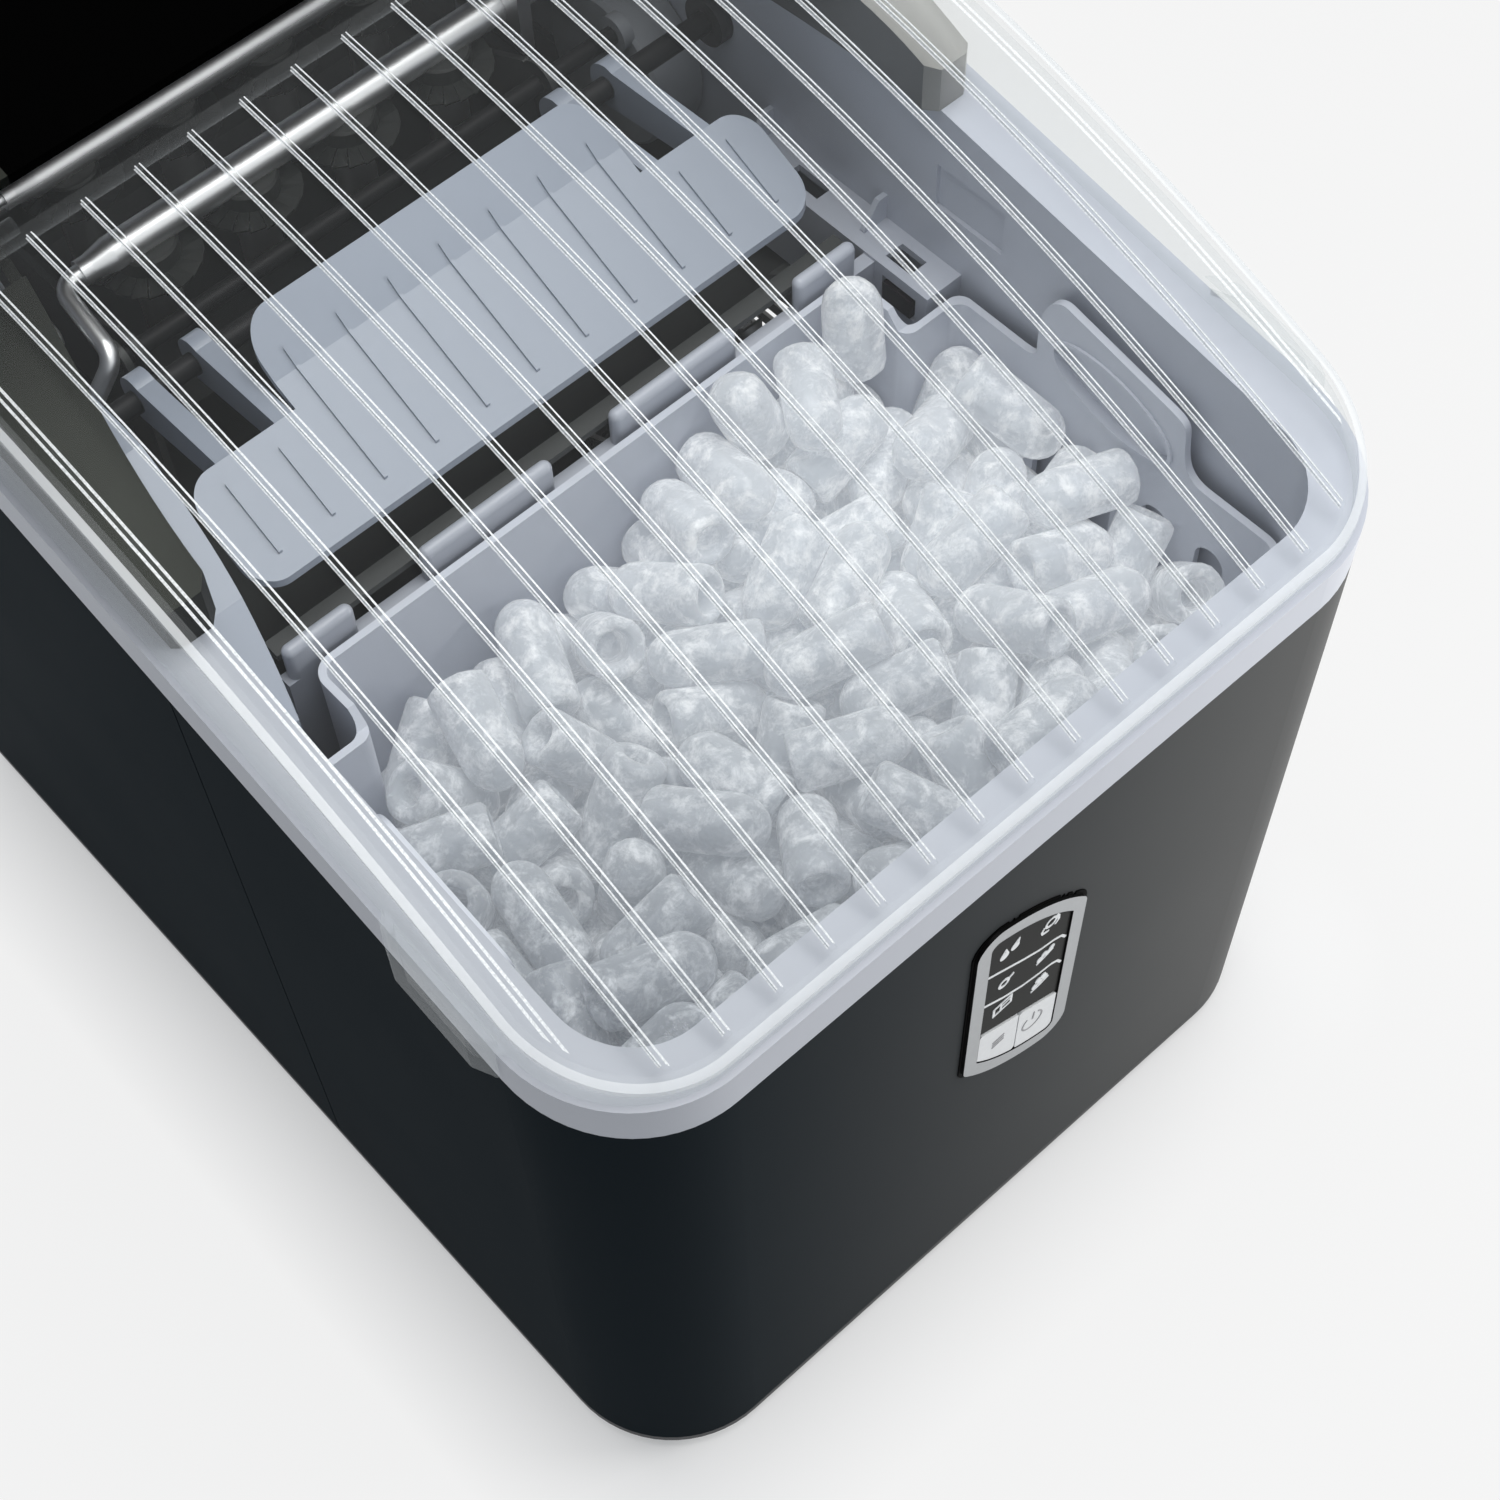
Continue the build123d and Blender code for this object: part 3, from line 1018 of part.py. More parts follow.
def shovel():
    w, c, t = SHOVEL_HALF_W, SHOVEL_CENTRE_HALF_W, SHOVEL_T
    tip, sh, top = SHOVEL_TIP_Y, SHOVEL_SHOULDER_Y, SHOVEL_TOP_Y
    pts = [(-w, tip), (w, tip), (w, sh), (c, sh), (c, top), (-c, top), (-c, sh), (-w, sh)]
    sk = make_face(Polyline(*[(x, fy(d)) for x, d in pts], close=True))
    sk = fillet([v for v in sk.vertices() if abs(abs(v.X) - w) < 0.01], 8)
    sk = fillet([v for v in sk.vertices() if abs(v.Y - fy(top)) < 0.01], 9)
    column = extrude(sk, amount=400)

    def z_at(d, up=0.0):
        base = SHOVEL_TIP_Z + SHOVEL_RISE * (min(d, SHOVEL_CREASE_Y) - tip)
        return base + 0.78 * max(0.0, d - SHOVEL_CREASE_Y) + up

    def sheet(up, thick):
        ds = (tip - 1, SHOVEL_CREASE_Y, top + 1)
        upper = [(d, z_at(d, up)) for d in ds]
        lower = [(d, z_at(d, up - thick)) for d in reversed(ds)]
        return side_prism(upper + lower, -WIDE / 2, WIDE / 2)

    body = column & sheet(0, t)
    ribs = []
    outermost = int((w - 6) / SHOVEL_RIB_PITCH)
    for i in range(-outermost, outermost + 1):
        x = SHOVEL_RIB_PITCH * i
        end = top - 9 if abs(x) < c - 3 else sh - 5
        ribs.append(block(x - 0.5, x + 0.5, tip + 5, end, 200, 300) & sheet(0.8, 1.4))
    for rib in ribs:
        body += rib
    for x in (LUG_INNER_X, LUG_OUTER_X):
        root = [(sh - 12, z_at(sh - 12, -t)), (sh, z_at(sh, -0.3)),
                (SHAFT_Y + 2, SHAFT_Z + LUG_R * 0.9), (SHAFT_Y, SHAFT_Z - LUG_R * 0.98),
                (sh - 4, z_at(sh - 4, -t - 5))]
        lug = side_prism(root, x, x + LUG_T) + rod_x(x, x + LUG_T, SHAFT_Y, SHAFT_Z, LUG_R)
        body += both_sides(lug)
    return body - rod_x(-WIDE, WIDE, SHAFT_Y, SHAFT_Z, SHAFT_R)


def shovel_shaft():
    return rod_x(-TUB_HALF_W + MOTOR_T + 2.6, TUB_HALF_W + TUB_T, SHAFT_Y, SHAFT_Z, SHAFT_R)


def shaft_bush():
    r = SHAFT_R + BUSH_T
    ring = rod_x(TUB_HALF_W - 0.05, TUB_HALF_W + TUB_T, SHAFT_Y, SHAFT_Z, r)
    ring += rod_x(TUB_HALF_W - 4, TUB_HALF_W - 0.05, SHAFT_Y, SHAFT_Z, r + 2.5)
    return ring - rod_x(0, WIDE, SHAFT_Y, SHAFT_Z, SHAFT_R + RUN)


def pump():
    z0 = TUB_FLOOR_Z + TUB_T + REST
    back = PUMP_BACK_Y
    body = block(HOSE_X - 18, HOSE_X + 18, back - 28, back, z0 + 3, z0 + 30)
    body = fillet(body.edges().filter_by(Axis.Z), 5)
    for sx in (-1, 1):
        for d in (back - 22, back - 6):
            body += rod_z(HOSE_X + sx * 12, d, z0, z0 + 4, 4)
    body += rod_y(HOSE_X, back - 2, back + 6, HOSE_LOW_Z, 2.8)
    for i in range(5):
        body -= block(HOSE_X - 14 + 6 * i, HOSE_X - 11 + 6 * i, back - 30, back - 26, z0 + 7, z0 + 20)
    return body


def water_hose():
    pts = [(HOSE_X, PUMP_BACK_Y + 0.3, HOSE_LOW_Z), (HOSE_X, HOSE_UP_Y, HOSE_LOW_Z),
           (HOSE_X, HOSE_UP_Y, HOSE_HIGH_Z)]
    pts += [(HOSE_X, SPOUT_Y, HOSE_HIGH_Z), (HOSE_SIDE_X, SPOUT_Y, HOSE_HIGH_Z),
            (HOSE_SIDE_X, SPOUT_Y, SPOUT_Z - 10)]
    hose = pipe(pts, HOSE_R, 10)
    return hose - rod_y(HOSE_X, PUMP_BACK_Y - 4, PUMP_BACK_Y + 8, HOSE_LOW_Z, 2.85)


def water_spout():
    pts = [(HOSE_SIDE_X, SPOUT_Y, SPOUT_Z - 9.9), (HOSE_SIDE_X, SPOUT_Y, SPOUT_Z)]
    pts += [(-TRAY_HALF_W + 6, SPOUT_Y, SPOUT_Z)]
    bore = rod_x(-TRAY_HALF_W - 6, -TRAY_HALF_W + 8, SPOUT_Y, SPOUT_Z, SPOUT_R - 1.4)
    return pipe(pts, SPOUT_R - 0.2, 5.5) - bore


def ice_sensors():
    d, z0, z1 = DIVIDER_Y, SENSOR_Z0 + 1.5, SENSOR_Z1 - 1.5
    seat = BASKET_STEP_Y + LEDGE_GAP + 4
    right = block(LEDGE_X - 0.9, LEDGE_X + 1.1, seat + 1, seat + 11, SENSOR_LOW_Z + 1, SENSOR_HIGH_Z - 1)
    left = block(-TUB_HALF_W + 0.1, -TUB_HALF_W + 12.4, d - 7.5, d - 0.5, z0 - 0.5, z1 + 0.5)
    return [left, right]


def compressor():
    z0, z1 = COMP_Z, COMP_Z + COMP_H
    with BuildSketch(Plane.XZ) as sk:
        with BuildLine():
            low = Spline((30, z0), (44, z0 + 6), (COMP_R, z0 + 18), tangents=((1, 0), (0, 1)))
            wall = Line(low @ 1, (COMP_R, z1 - 32))
            dome = Spline(wall @ 1, (COMP_R - 8, z1 - 12), (16, z1), tangents=((0, 1), (-1, 0)))
            Polyline(dome @ 1, (0, z1), (0, z0), low @ 0)
        make_face()
    body = Pos(COMP_X, fy(COMP_Y), 0) * revolve(sk.sketch, Axis.Z)
    body += rod_z(COMP_X, COMP_Y, z1 - 38, z1 - 35, COMP_R + 1.6)
    for a in (90, 210, 330):
        c, q = math.cos(math.radians(a)), math.sin(math.radians(a))
        ear = rod_z(COMP_X + 40 * c, COMP_Y + 40 * q, z0 - 2, z0 + 0.8, 10)
        arm_box = Pos(COMP_X + 20 * c, fy(COMP_Y + 20 * q), z0 - 0.6) * Rot(0, 0, a) * Box(40, 16, 2.8)
        body += ear + arm_box
    for a in (90, 210, 330):
        x, d = COMP_X + 40 * math.cos(math.radians(a)), COMP_Y + 40 * math.sin(math.radians(a))
        body -= rod_z(x, d, z0 - 3, z0 + 3, 2.6)
    # stubs for the two pipes and the cover of the terminals
    for x in (COMP_X - 32, COMP_X + 28):
        body += rod_z(x, COMP_Y + 20, z1 - 24, z1 + 1.9, PIPE_R + 1.2)
    box = block(COMP_X - 20, COMP_X + 20, COMP_Y - COMP_R - 5, COMP_Y - COMP_R + 12, z0 + 30, z0 + 62)
    return body + fillet(box.edges().filter_by(Axis.Y), 3)


def compressor_mounts():
    out = []
    for a in (90, 210, 330):
        x, d = COMP_X + 40 * math.cos(math.radians(a)), COMP_Y + 40 * math.sin(math.radians(a))
        low, high = PAN_TOP + 4 + REST, COMP_Z - 2 - REST
        pad = rod_z(x, d, low, high, 7.5)
        mid = (low + high) / 2
        groove = rod_z(x, d, mid - 0.8, mid + 0.8, 9) - rod_z(x, d, mid - 1, mid + 1, 6.2)
        pad = pad - groove + rod_z(x, d, PAN_TOP - 1.5, low + 1,
                                   2.4) + rod_z(x, d, high - 1, COMP_Z + 0.5, 2.4)
        out.append(pad)
    return out


def condenser():
    body = block(COND_X0, COND_X1, COND_Y0, COND_Y0 + 2, COND_Z0, COND_Z1)
    body += block(COND_X0, COND_X1, COND_Y1 - 2, COND_Y1, COND_Z0, COND_Z1)
    for col in (COND_X0 + 6, COND_X1 - 6):
        for row in range(6):
            body += rod_y(col, COND_Y0 + 1, COND_Y1 - 1, COND_Z0 + 9 + 18.4 * row, 3.2)
    for i in range(18):
        d = COND_Y0 + 6.5 + 5 * i
        body += block(COND_X0 + 0.6, COND_X1 - 0.6, d, d + 0.8, COND_Z0 + 1, COND_Z1 - 1)
    return body


def fan_shroud():
    half = FAN_R + 7
    x0, x1 = FAN_X - FAN_T / 2, FAN_X + FAN_T / 2
    frame = block(x0, x1, FAN_Y - half, FAN_Y + half, FAN_Z - half, FAN_Z + half)
    frame = fillet(frame.edges().filter_by(Axis.X), 5)
    frame -= rod_x(x0 - 1, x1 + 1, FAN_Y, FAN_Z, FAN_R + 1)
    for sy in (-1, 1):
        for sz in (-1, 1):
            frame -= rod_x(x0 - 1, x1 + 1, FAN_Y + sy * (half - 6), FAN_Z + sz * (half - 6), 2.2)
    for a in (30, 150, 270):
        strut = Box(2, FAN_R + 3, 5)
        frame += Pos(x0 + 1, fy(FAN_Y), FAN_Z) * Rot(a, 0, 0) * Pos(0, (FAN_R + 3) / 2, 0) * strut
    frame += rod_x(x0, x0 + 2, FAN_Y, FAN_Z, FAN_HUB_R)
    return frame


def fan_motor():
    x0 = FAN_X - FAN_T / 2 + 2 + REST
    body = rod_x(x0, x0 + 9, FAN_Y, FAN_Z, FAN_HUB_R - 2.4)
    return body + rod_x(x0 + 8, x0 + 11.7, FAN_Y, FAN_Z, 1.4)


def fan_blade():
    x0 = FAN_X - FAN_T / 2 + 3.2
    hub = rod_x(x0, x0 + 11.5, FAN_Y, FAN_Z, FAN_HUB_R)
    hub = fillet(hub.edges().filter_by(GeomType.CIRCLE).sort_by(Axis.X)[-1], 1.5)
    ring = rod_x(x0 - 2, FAN_X + FAN_T / 2, FAN_Y, FAN_Z, FAN_R - 0.6)
    ring -= rod_x(x0 - 3, FAN_X + FAN_T / 2 + 1, FAN_Y, FAN_Z, FAN_HUB_R - 0.8)
    for i in range(BLADES):
        vane = Box(1.4, FAN_R + 6, 20)
        vane = Pos(0, (FAN_R + 6) / 2, 0) * Rot(0, 32, 0) * vane
        vane = Pos(x0 + 6, fy(FAN_Y), FAN_Z) * Rot(360 / BLADES * i, 0, 0) * vane
        hub += vane & ring
    hub -= rod_x(x0 - 1, x0 + 9.2, FAN_Y, FAN_Z, FAN_HUB_R - 1.6)
    return hub - rod_x(x0 + 8, x0 + 10.8, FAN_Y, FAN_Z, 1.8)


def filter_drier():
    x0, x1 = DRIER_X0 + REST, DRIER_X1 - REST
    body = rod_x(x0 + 6, x1 - 6, DRIER_Y, DRIER_Z, 8.5)
    body = fillet(body.edges().filter_by(GeomType.CIRCLE), 3)
    return body + rod_x(x0, x1, DRIER_Y, DRIER_Z, PIPE_R + 0.8)


def main_board():
    x0, x1, z0, z1 = 16.0, 76.0, 40.0, 118.0
    d = DIVIDER_Y + DIVIDER_T + 6
    body = block(x0, x1, d, d + 1.6, z0, z1)
    for x in (x0 + 5, x1 - 5):
        for z in (z0 + 5, z1 - 5):
            body += rod_y(x, DIVIDER_Y + DIVIDER_T + REST, d + 0.5, z, 3)
    body += block(x0 + 10, x0 + 30, d + 1, d + 17, z0 + 8, z0 + 26)
    body += block(x0 + 36, x0 + 52, d + 1, d + 13, z0 + 10, z0 + 24)
    body += block(x0 + 8, x0 + 26, d + 1, d + 12, z0 + 50, z0 + 62)
    body += rod_y(x0 + 44, d + 1, d + 18, z0 + 44, 5)
    body += rod_y(x0 + 32, d + 1, d + 14, z0 + 62, 4)
    return body


def key_line(shift):
    # area above the sloping line between the icon window and the keys
    far = 60.0
    slope = (KEY_LINE_RIGHT_Z - KEY_LINE_LEFT_Z) / (PANEL_RIGHT_X - PANEL_LEFT_X)
    z0 = KEY_LINE_LEFT_Z + slope * (-far - PANEL_LEFT_X) + shift
    z1 = KEY_LINE_LEFT_Z + slope * (far - PANEL_LEFT_X) + shift
    face = Plane.XZ * make_face(Polyline((-far, z0), (far, z1), (far, 300), (-far, 300), close=True))
    return Pos(0, fy(-20), 0) * extrude(face, amount=-60)


def control_bezel():
    body = panel_block(0, -PANEL_PROUD, -0.02) + panel_block(PANEL_HOLE + FIT, -0.1, PANEL_DEEP)
    body -= panel_block(PANEL_RIM, -5, PANEL_FLOOR_Y)
    body -= (panel_block(PANEL_RIM + 3, -5, 20) & key_line(4))
    for x, z in KEY_STEMS:
        body -= rod_y(x, -5, 20, z, KEY_STEM_R + RUN)
    for x, z in BOARD_POSTS:
        body += rod_y(x, PANEL_DEEP - 0.1, BOARD_Y - REST, z, 2)
    return body


def display_window():
    plate = panel_block(PANEL_RIM + FIT, -PANEL_PROUD + 0.5, PANEL_FLOOR_Y - REST)
    return plate & key_line(KEY_GAP)


def key(side):
    area = panel_block(PANEL_RIM + 0.35, -PANEL_PROUD + 0.2, PANEL_FLOOR_Y - KEY_TRAVEL - 0.15)
    area -= key_line(-KEY_GAP)
    if side < 0:
        area = area & block(-WIDE, KEY_SPLIT_X - KEY_GAP / 2, -20, 20, 0, 400)
    else:
        area = area & block(KEY_SPLIT_X + KEY_GAP / 2, WIDE, -20, 20, 0, 400)
    x, z = KEY_STEMS[0] if side < 0 else KEY_STEMS[1]
    area = fillet(area.edges().filter_by(Axis.Y), 0.8)
    return area + rod_y(x, 0, BOARD_Y - 1.8 - KEY_TRAVEL - 0.2, z, KEY_STEM_R)


def control_board():
    body = block(-14, 16, BOARD_Y, BOARD_Y + 1.4, 105, 176)
    for x, z in KEY_STEMS:
        body += block(x - 2.5, x + 2.5, BOARD_Y - 1.8, BOARD_Y + 0.2, z - 2.5, z + 2.5)
    return body + block(-9, 12, BOARD_Y - 1.5, BOARD_Y + 0.2, 148, 168)


def drain_cap():
    r = DRAIN_R + DRAIN_WALL + 0.3
    top, low = TUB_FLOOR_Z - 14, TUB_FLOOR_Z - 14 - DRAIN_SEAL_T - 2 * REST
    body = rod_z(0, DRAIN_Y, low - CAP_WALL, top + 9, r + CAP_WALL)
    body -= rod_z(0, DRAIN_Y, low, top + 10, r)
    for i in range(16):
        a = math.radians(22.5 * i)
        x, d = (r + CAP_WALL) * math.cos(a), DRAIN_Y + (r + CAP_WALL) * math.sin(a)
        body -= rod_z(x, d, low - CAP_WALL - 1, top + 10, 1.1)
    return body + block(-11, 11, DRAIN_Y - 1.8, DRAIN_Y + 1.8, low - CAP_WALL - 5, low - CAP_WALL + 0.5)


def drain_seal():
    z1 = TUB_FLOOR_Z - 14 - REST
    disc = rod_z(0, DRAIN_Y, z1 - DRAIN_SEAL_T, z1, DRAIN_R + DRAIN_WALL)
    return disc + rod_z(0, DRAIN_Y, z1 - 0.5, z1 + 2, DRAIN_R - 0.3)


def cord_gland():
    body = rod_y(GLAND_X, BODY_D - 5, BODY_D + SCREW_HEAD_H, GLAND_Z, GLAND_R - 0.15)
    flange = rod_y(GLAND_X, BODY_D + REST, BODY_D + SCREW_HEAD_H, GLAND_Z, GLAND_R + 4)
    body += chamfer(flange.edges().filter_by(GeomType.CIRCLE).sort_by(Axis.Y)[-1], 0.6)
    body += rod_y(GLAND_X, BODY_D - 4, BODY_D - SHELL_T - REST, GLAND_Z, GLAND_R + 1.2)
    return body - rod_y(GLAND_X, BODY_D - 8, BODY_D + 4, GLAND_Z, GLAND_R - 3)


def case_screws():
    return [screw(sx * SCREW_X, BODY_D, z, (0, -1, 0)) for sx in (-1, 1) for z in SCREW_ROWS]


def main():
    os.makedirs("parts", exist_ok=True)
    save(base_pan(), "base_pan")
    save_group(feet(), "feet")
    save(front_shell(), "front_shell")
    save(side_panel(-1), "left_side_panel")
    save(side_panel(1), "right_side_panel")
    save(rear_panel(), "rear_panel")
    save(liner(), "liner")
    save(top_cover(), "top_cover")
    save(lid(), "lid")
    save_group(hinge_pins(), "hinge_pins")
    save(ice_basket(), "ice_basket")
    save(evaporator(), "evaporator")
    save(evaporator_bracket(), "evaporator_bracket")
    save(suction_line(), "suction_line")
    save(feed_line(), "feed_line")
    save(liquid_line(), "liquid_line")
    save(discharge_line(), "discharge_line")
    save_group(pipe_grommets(), "pipe_grommets")
    save(filter_drier(), "filter_drier")
    save(evaporator_trough(), "evaporator_trough")
    save(water_tray(), "water_tray")
    save(tray_rod(), "tray_rod")
    save(gear_motor(1, MOTOR_R, TRAY_MOTOR_Y, TRAY_MOTOR_Z, TRAY_PIVOT_Y, TRAY_PIVOT_Z), "tray_motor")
    save(shovel(), "ice_shovel")
    save(shovel_shaft(), "shovel_shaft")
    save(shaft_bush(), "shaft_bush")
    save(gear_motor(-1, SHOVEL_MOTOR_R, SHOVEL_MOTOR_Y, SHOVEL_MOTOR_Z, SHAFT_Y, SHAFT_Z), "shovel_motor")
    save(gear_cover(), "gear_cover")
    save_group(ice_sensors(), "ice_sensors")
    save(pump(), "water_pump")
    save(water_hose(), "water_hose")
    save(water_spout(), "water_spout")
    save(compressor(), "compressor")
    save_group(compressor_mounts(), "compressor_mounts")
    save(condenser(), "condenser")
    save(fan_shroud(), "fan_shroud")
    save(fan_motor(), "fan_motor")
    save(fan_blade(), "fan_blade")
    save(main_board(), "main_board")
    save(control_bezel(), "control_bezel")
    save(display_window(), "display_window")
    save(key(-1), "select_key")
    save(key(1), "power_key")
    save(control_board(), "control_board")
    save(drain_cap(), "drain_cap")
    save(drain_seal(), "drain_seal")
    save(cord_gland(), "cord_gland")
    save_group(case_screws(), "case_screws")


if __name__ == "__main__":
    main()
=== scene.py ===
import bpy
import bmesh
import json
import math
import random
from mathutils import Matrix, Vector

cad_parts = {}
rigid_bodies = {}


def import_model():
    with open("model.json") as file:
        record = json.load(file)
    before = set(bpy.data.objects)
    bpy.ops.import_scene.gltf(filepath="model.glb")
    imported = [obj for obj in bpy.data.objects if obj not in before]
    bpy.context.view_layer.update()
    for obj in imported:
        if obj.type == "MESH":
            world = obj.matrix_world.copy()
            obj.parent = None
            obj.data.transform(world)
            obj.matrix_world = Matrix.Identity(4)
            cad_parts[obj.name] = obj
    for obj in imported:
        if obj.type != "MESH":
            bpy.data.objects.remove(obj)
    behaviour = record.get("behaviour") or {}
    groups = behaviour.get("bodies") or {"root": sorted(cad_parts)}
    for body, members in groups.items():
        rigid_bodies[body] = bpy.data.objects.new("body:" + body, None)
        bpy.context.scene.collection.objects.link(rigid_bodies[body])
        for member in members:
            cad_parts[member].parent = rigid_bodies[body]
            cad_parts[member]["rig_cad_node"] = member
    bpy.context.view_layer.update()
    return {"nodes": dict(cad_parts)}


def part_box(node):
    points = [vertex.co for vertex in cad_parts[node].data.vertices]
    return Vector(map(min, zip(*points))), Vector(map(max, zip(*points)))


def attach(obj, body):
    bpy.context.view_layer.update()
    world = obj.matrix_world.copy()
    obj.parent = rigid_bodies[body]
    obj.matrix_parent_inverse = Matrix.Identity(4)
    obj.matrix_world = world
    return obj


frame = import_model()
nodes = frame["nodes"]

# ---------------------------------------------------------------- view
# The machine is looked at from its front left and from well above, close
# enough that the rear of its top runs out of the frame.
view_azimuth = math.radians(-36.953)
view_elevation = math.radians(59.918)
view_roll = math.radians(-5.309)
back = Vector((math.sin(view_azimuth) * math.cos(view_elevation),
               -math.cos(view_azimuth) * math.cos(view_elevation),
               math.sin(view_elevation)))
level = (-back).cross(Vector((0, 0, 1))).normalized()
upright = level.cross(-back)
side = math.cos(view_roll) * level + math.sin(view_roll) * upright
over = -math.sin(view_roll) * level + math.cos(view_roll) * upright
camera = bpy.data.objects.new("camera", bpy.data.cameras.new("camera"))
camera_spot = Matrix.Translation((-0.22283, -0.32773, 0.69528))
camera.matrix_world = camera_spot @ Matrix((side, over, back)).transposed().to_4x4()
camera.data.sensor_width = 36.0
camera.data.lens = 61.154
camera.data.shift_x = 0.05603
camera.data.shift_y = 0.04827
camera.data.clip_start = 0.01
bpy.context.scene.collection.objects.link(camera)
bpy.context.scene.camera = camera
bpy.context.scene.view_settings.view_transform = "Standard"

# ---------------------------------------------------------------- studio
# A wide pale floor in an evenly lit white room. One big softbox hangs over
# the machine and a small one close by on the right brushes the front, so
# the left side stays dark. The floor carries a tight painted shadow round the machine.
class Wire:
    """One output of a node. Sums of wires and numbers add Math nodes."""

    def __init__(self, tree, socket):
        self.tree = tree
        self.socket = socket

    def _maths(self, kind, first, second=None):
        maths = self.tree.nodes.new("ShaderNodeMath")
        maths.operation = kind
        for slot, value in enumerate((first, second)):
            if isinstance(value, Wire):
                self.tree.links.new(value.socket, maths.inputs[slot])
            elif value is not None:
                maths.inputs[slot].default_value = value
        return Wire(self.tree, maths.outputs[0])

    def __add__(self, other):
        return self._maths("ADD", self, other)

    def __radd__(self, other):
        return self._maths("ADD", other, self)

    def __sub__(self, other):
        return self._maths("SUBTRACT", self, other)

    def __rsub__(self, other):
        return self._maths("SUBTRACT", other, self)

    def __mul__(self, other):
        return self._maths("MULTIPLY", self, other)

    def __rmul__(self, other):
        return self._maths("MULTIPLY", other, self)

    def __pow__(self, other):
        return self._maths("POWER", self, other)

    def __rpow__(self, other):
        return self._maths("POWER", other, self)

    def __mod__(self, other):
        return self._maths("FLOORED_MODULO", self, other)

    def __rmod__(self, other):
        return self._maths("FLOORED_MODULO", other, self)

    def __neg__(self):
        return self._maths("MULTIPLY", self, -1.0)

    def __abs__(self):
        return self._maths("ABSOLUTE", self)

    def __gt__(self, other):
        return self._maths("GREATER_THAN", self, other)

    def __lt__(self, other):
        return self._maths("LESS_THAN", self, other)

    def least(self, other):
        return self._maths("MINIMUM", self, other)

    def most(self, other):
        return self._maths("MAXIMUM", self, other)

    def held(self):
        """The same value, held between 0 and 1."""
        return self.most(0.0).least(1.0)


class Nodes:
    """Short ways to add nodes to a material or to the room."""

    def __init__(self, tree):
        self.tree = tree

    def join(self, socket, value):
        if isinstance(value, Wire):
            self.tree.links.new(value.socket, socket)
        elif socket.type == "RGBA" and len(value) == 3:
            socket.default_value = (*value, 1.0)
        else:
            socket.default_value = value

    def fill(self, node, values):
        for name, value in values.items():
            key = name.replace("_", " ")
            self.join([s for s in node.inputs if s.name == key and s.enabled][0], value)

    def node(self, kind, settings=None, out=0, slots=(), **values):
        """Adds a node: its settings first, then its sockets in order or by name."""
        added = self.tree.nodes.new("ShaderNode" + kind)
        for name, value in (settings or {}).items():
            setattr(added, name, value)
        for socket, value in zip(added.inputs, slots):
            self.join(socket, value)
        self.fill(added, values)
        if isinstance(out, int):
            return Wire(self.tree, added.outputs[out])
        return Wire(self.tree, [s for s in added.outputs if s.name == out and s.enabled][0])

    def mix(self, share, under, upper):
        """Two surfaces mixed; the share goes to the upper one."""
        return self.node("MixShader", slots=(share, under, upper))

    def show(self, surface):
        """Sends a surface to the output of a material or of the room."""
        output = [n for n in self.tree.nodes if n.type.startswith("OUTPUT")][0]
        self.join(output.inputs[0], surface)


class Finish(Nodes):
    """One piece's material: a Principled surface and what varies over it."""

    def __init__(self, name, colour, rough, **fixed):
        self.material = bpy.data.materials.new(name)
        self.material.use_nodes = True
        super().__init__(self.material.node_tree)
        self.surface = self.tree.nodes["Principled BSDF"]
        self.coat = Wire(self.tree, self.surface.outputs[0])
        self.set(Base_Color=colour, Roughness=rough, **fixed)

    def set(self, **values):
        self.fill(self.surface, values)

    def place(self):
        """The shaded point in the frame of the machine, whole and as X, Y and Z."""
        where = self.node("TexCoord", out="Object")
        return where, *(self.node("SeparateXYZ", out=axis, Vector=where) for axis in range(3))

    def noise(self, scale, detail=2.0, **more):
        where = self.node("TexCoord", out="Object")
        return self.node("TexNoise", Vector=where, Scale=scale, Detail=detail, **more)

    def blend(self, mask, low, high):
        return self.node("Mix", {"data_type": "RGBA"}, out="Result", Factor=mask, A=low, B=high)

    def bumps(self, height, depth, strength=1.0):
        return self.node("Bump", Height=height, Strength=strength, Distance=depth)

    def let_through(self, share, tint):
        """Light passes straight through, but for the given share of the surface."""
        bare = self.node("BsdfTransparent", Color=tint)
        self.show(self.mix(share.least(1.0), bare, self.coat))

    def over(self, *objects):
        for item in objects:
            item.data.materials.clear()
            item.data.materials.append(self.material)
            if "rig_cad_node" in item:
                for face in item.data.polygons:
                    face.material_index = 0


def softbox(name, place, aim, width, height, watts, tint):
    lamp = bpy.data.lights.new(name, "AREA")
    lamp.shape = "RECTANGLE"
    lamp.size = width
    lamp.size_y = height
    lamp.energy = watts
    lamp.color = tint
    holder = bpy.data.objects.new(name, lamp)
    holder.location = place
    holder.rotation_euler = (Vector(aim) - Vector(place)).to_track_quat("-Z", "Y").to_euler()
    bpy.context.scene.collection.objects.link(holder)


softbox("overhead", place=(0.14, -0.04, 1.45), aim=(0.0, 0.0, 0.2),
        width=0.9, height=0.9, watts=12.5, tint=(1.0, 0.995, 0.985))
softbox("near_right", place=(0.66, -0.58, 0.34), aim=(0.1, -0.1, 0.16),
        width=0.34, height=0.30, watts=4.0, tint=(1.0, 0.98, 0.95))

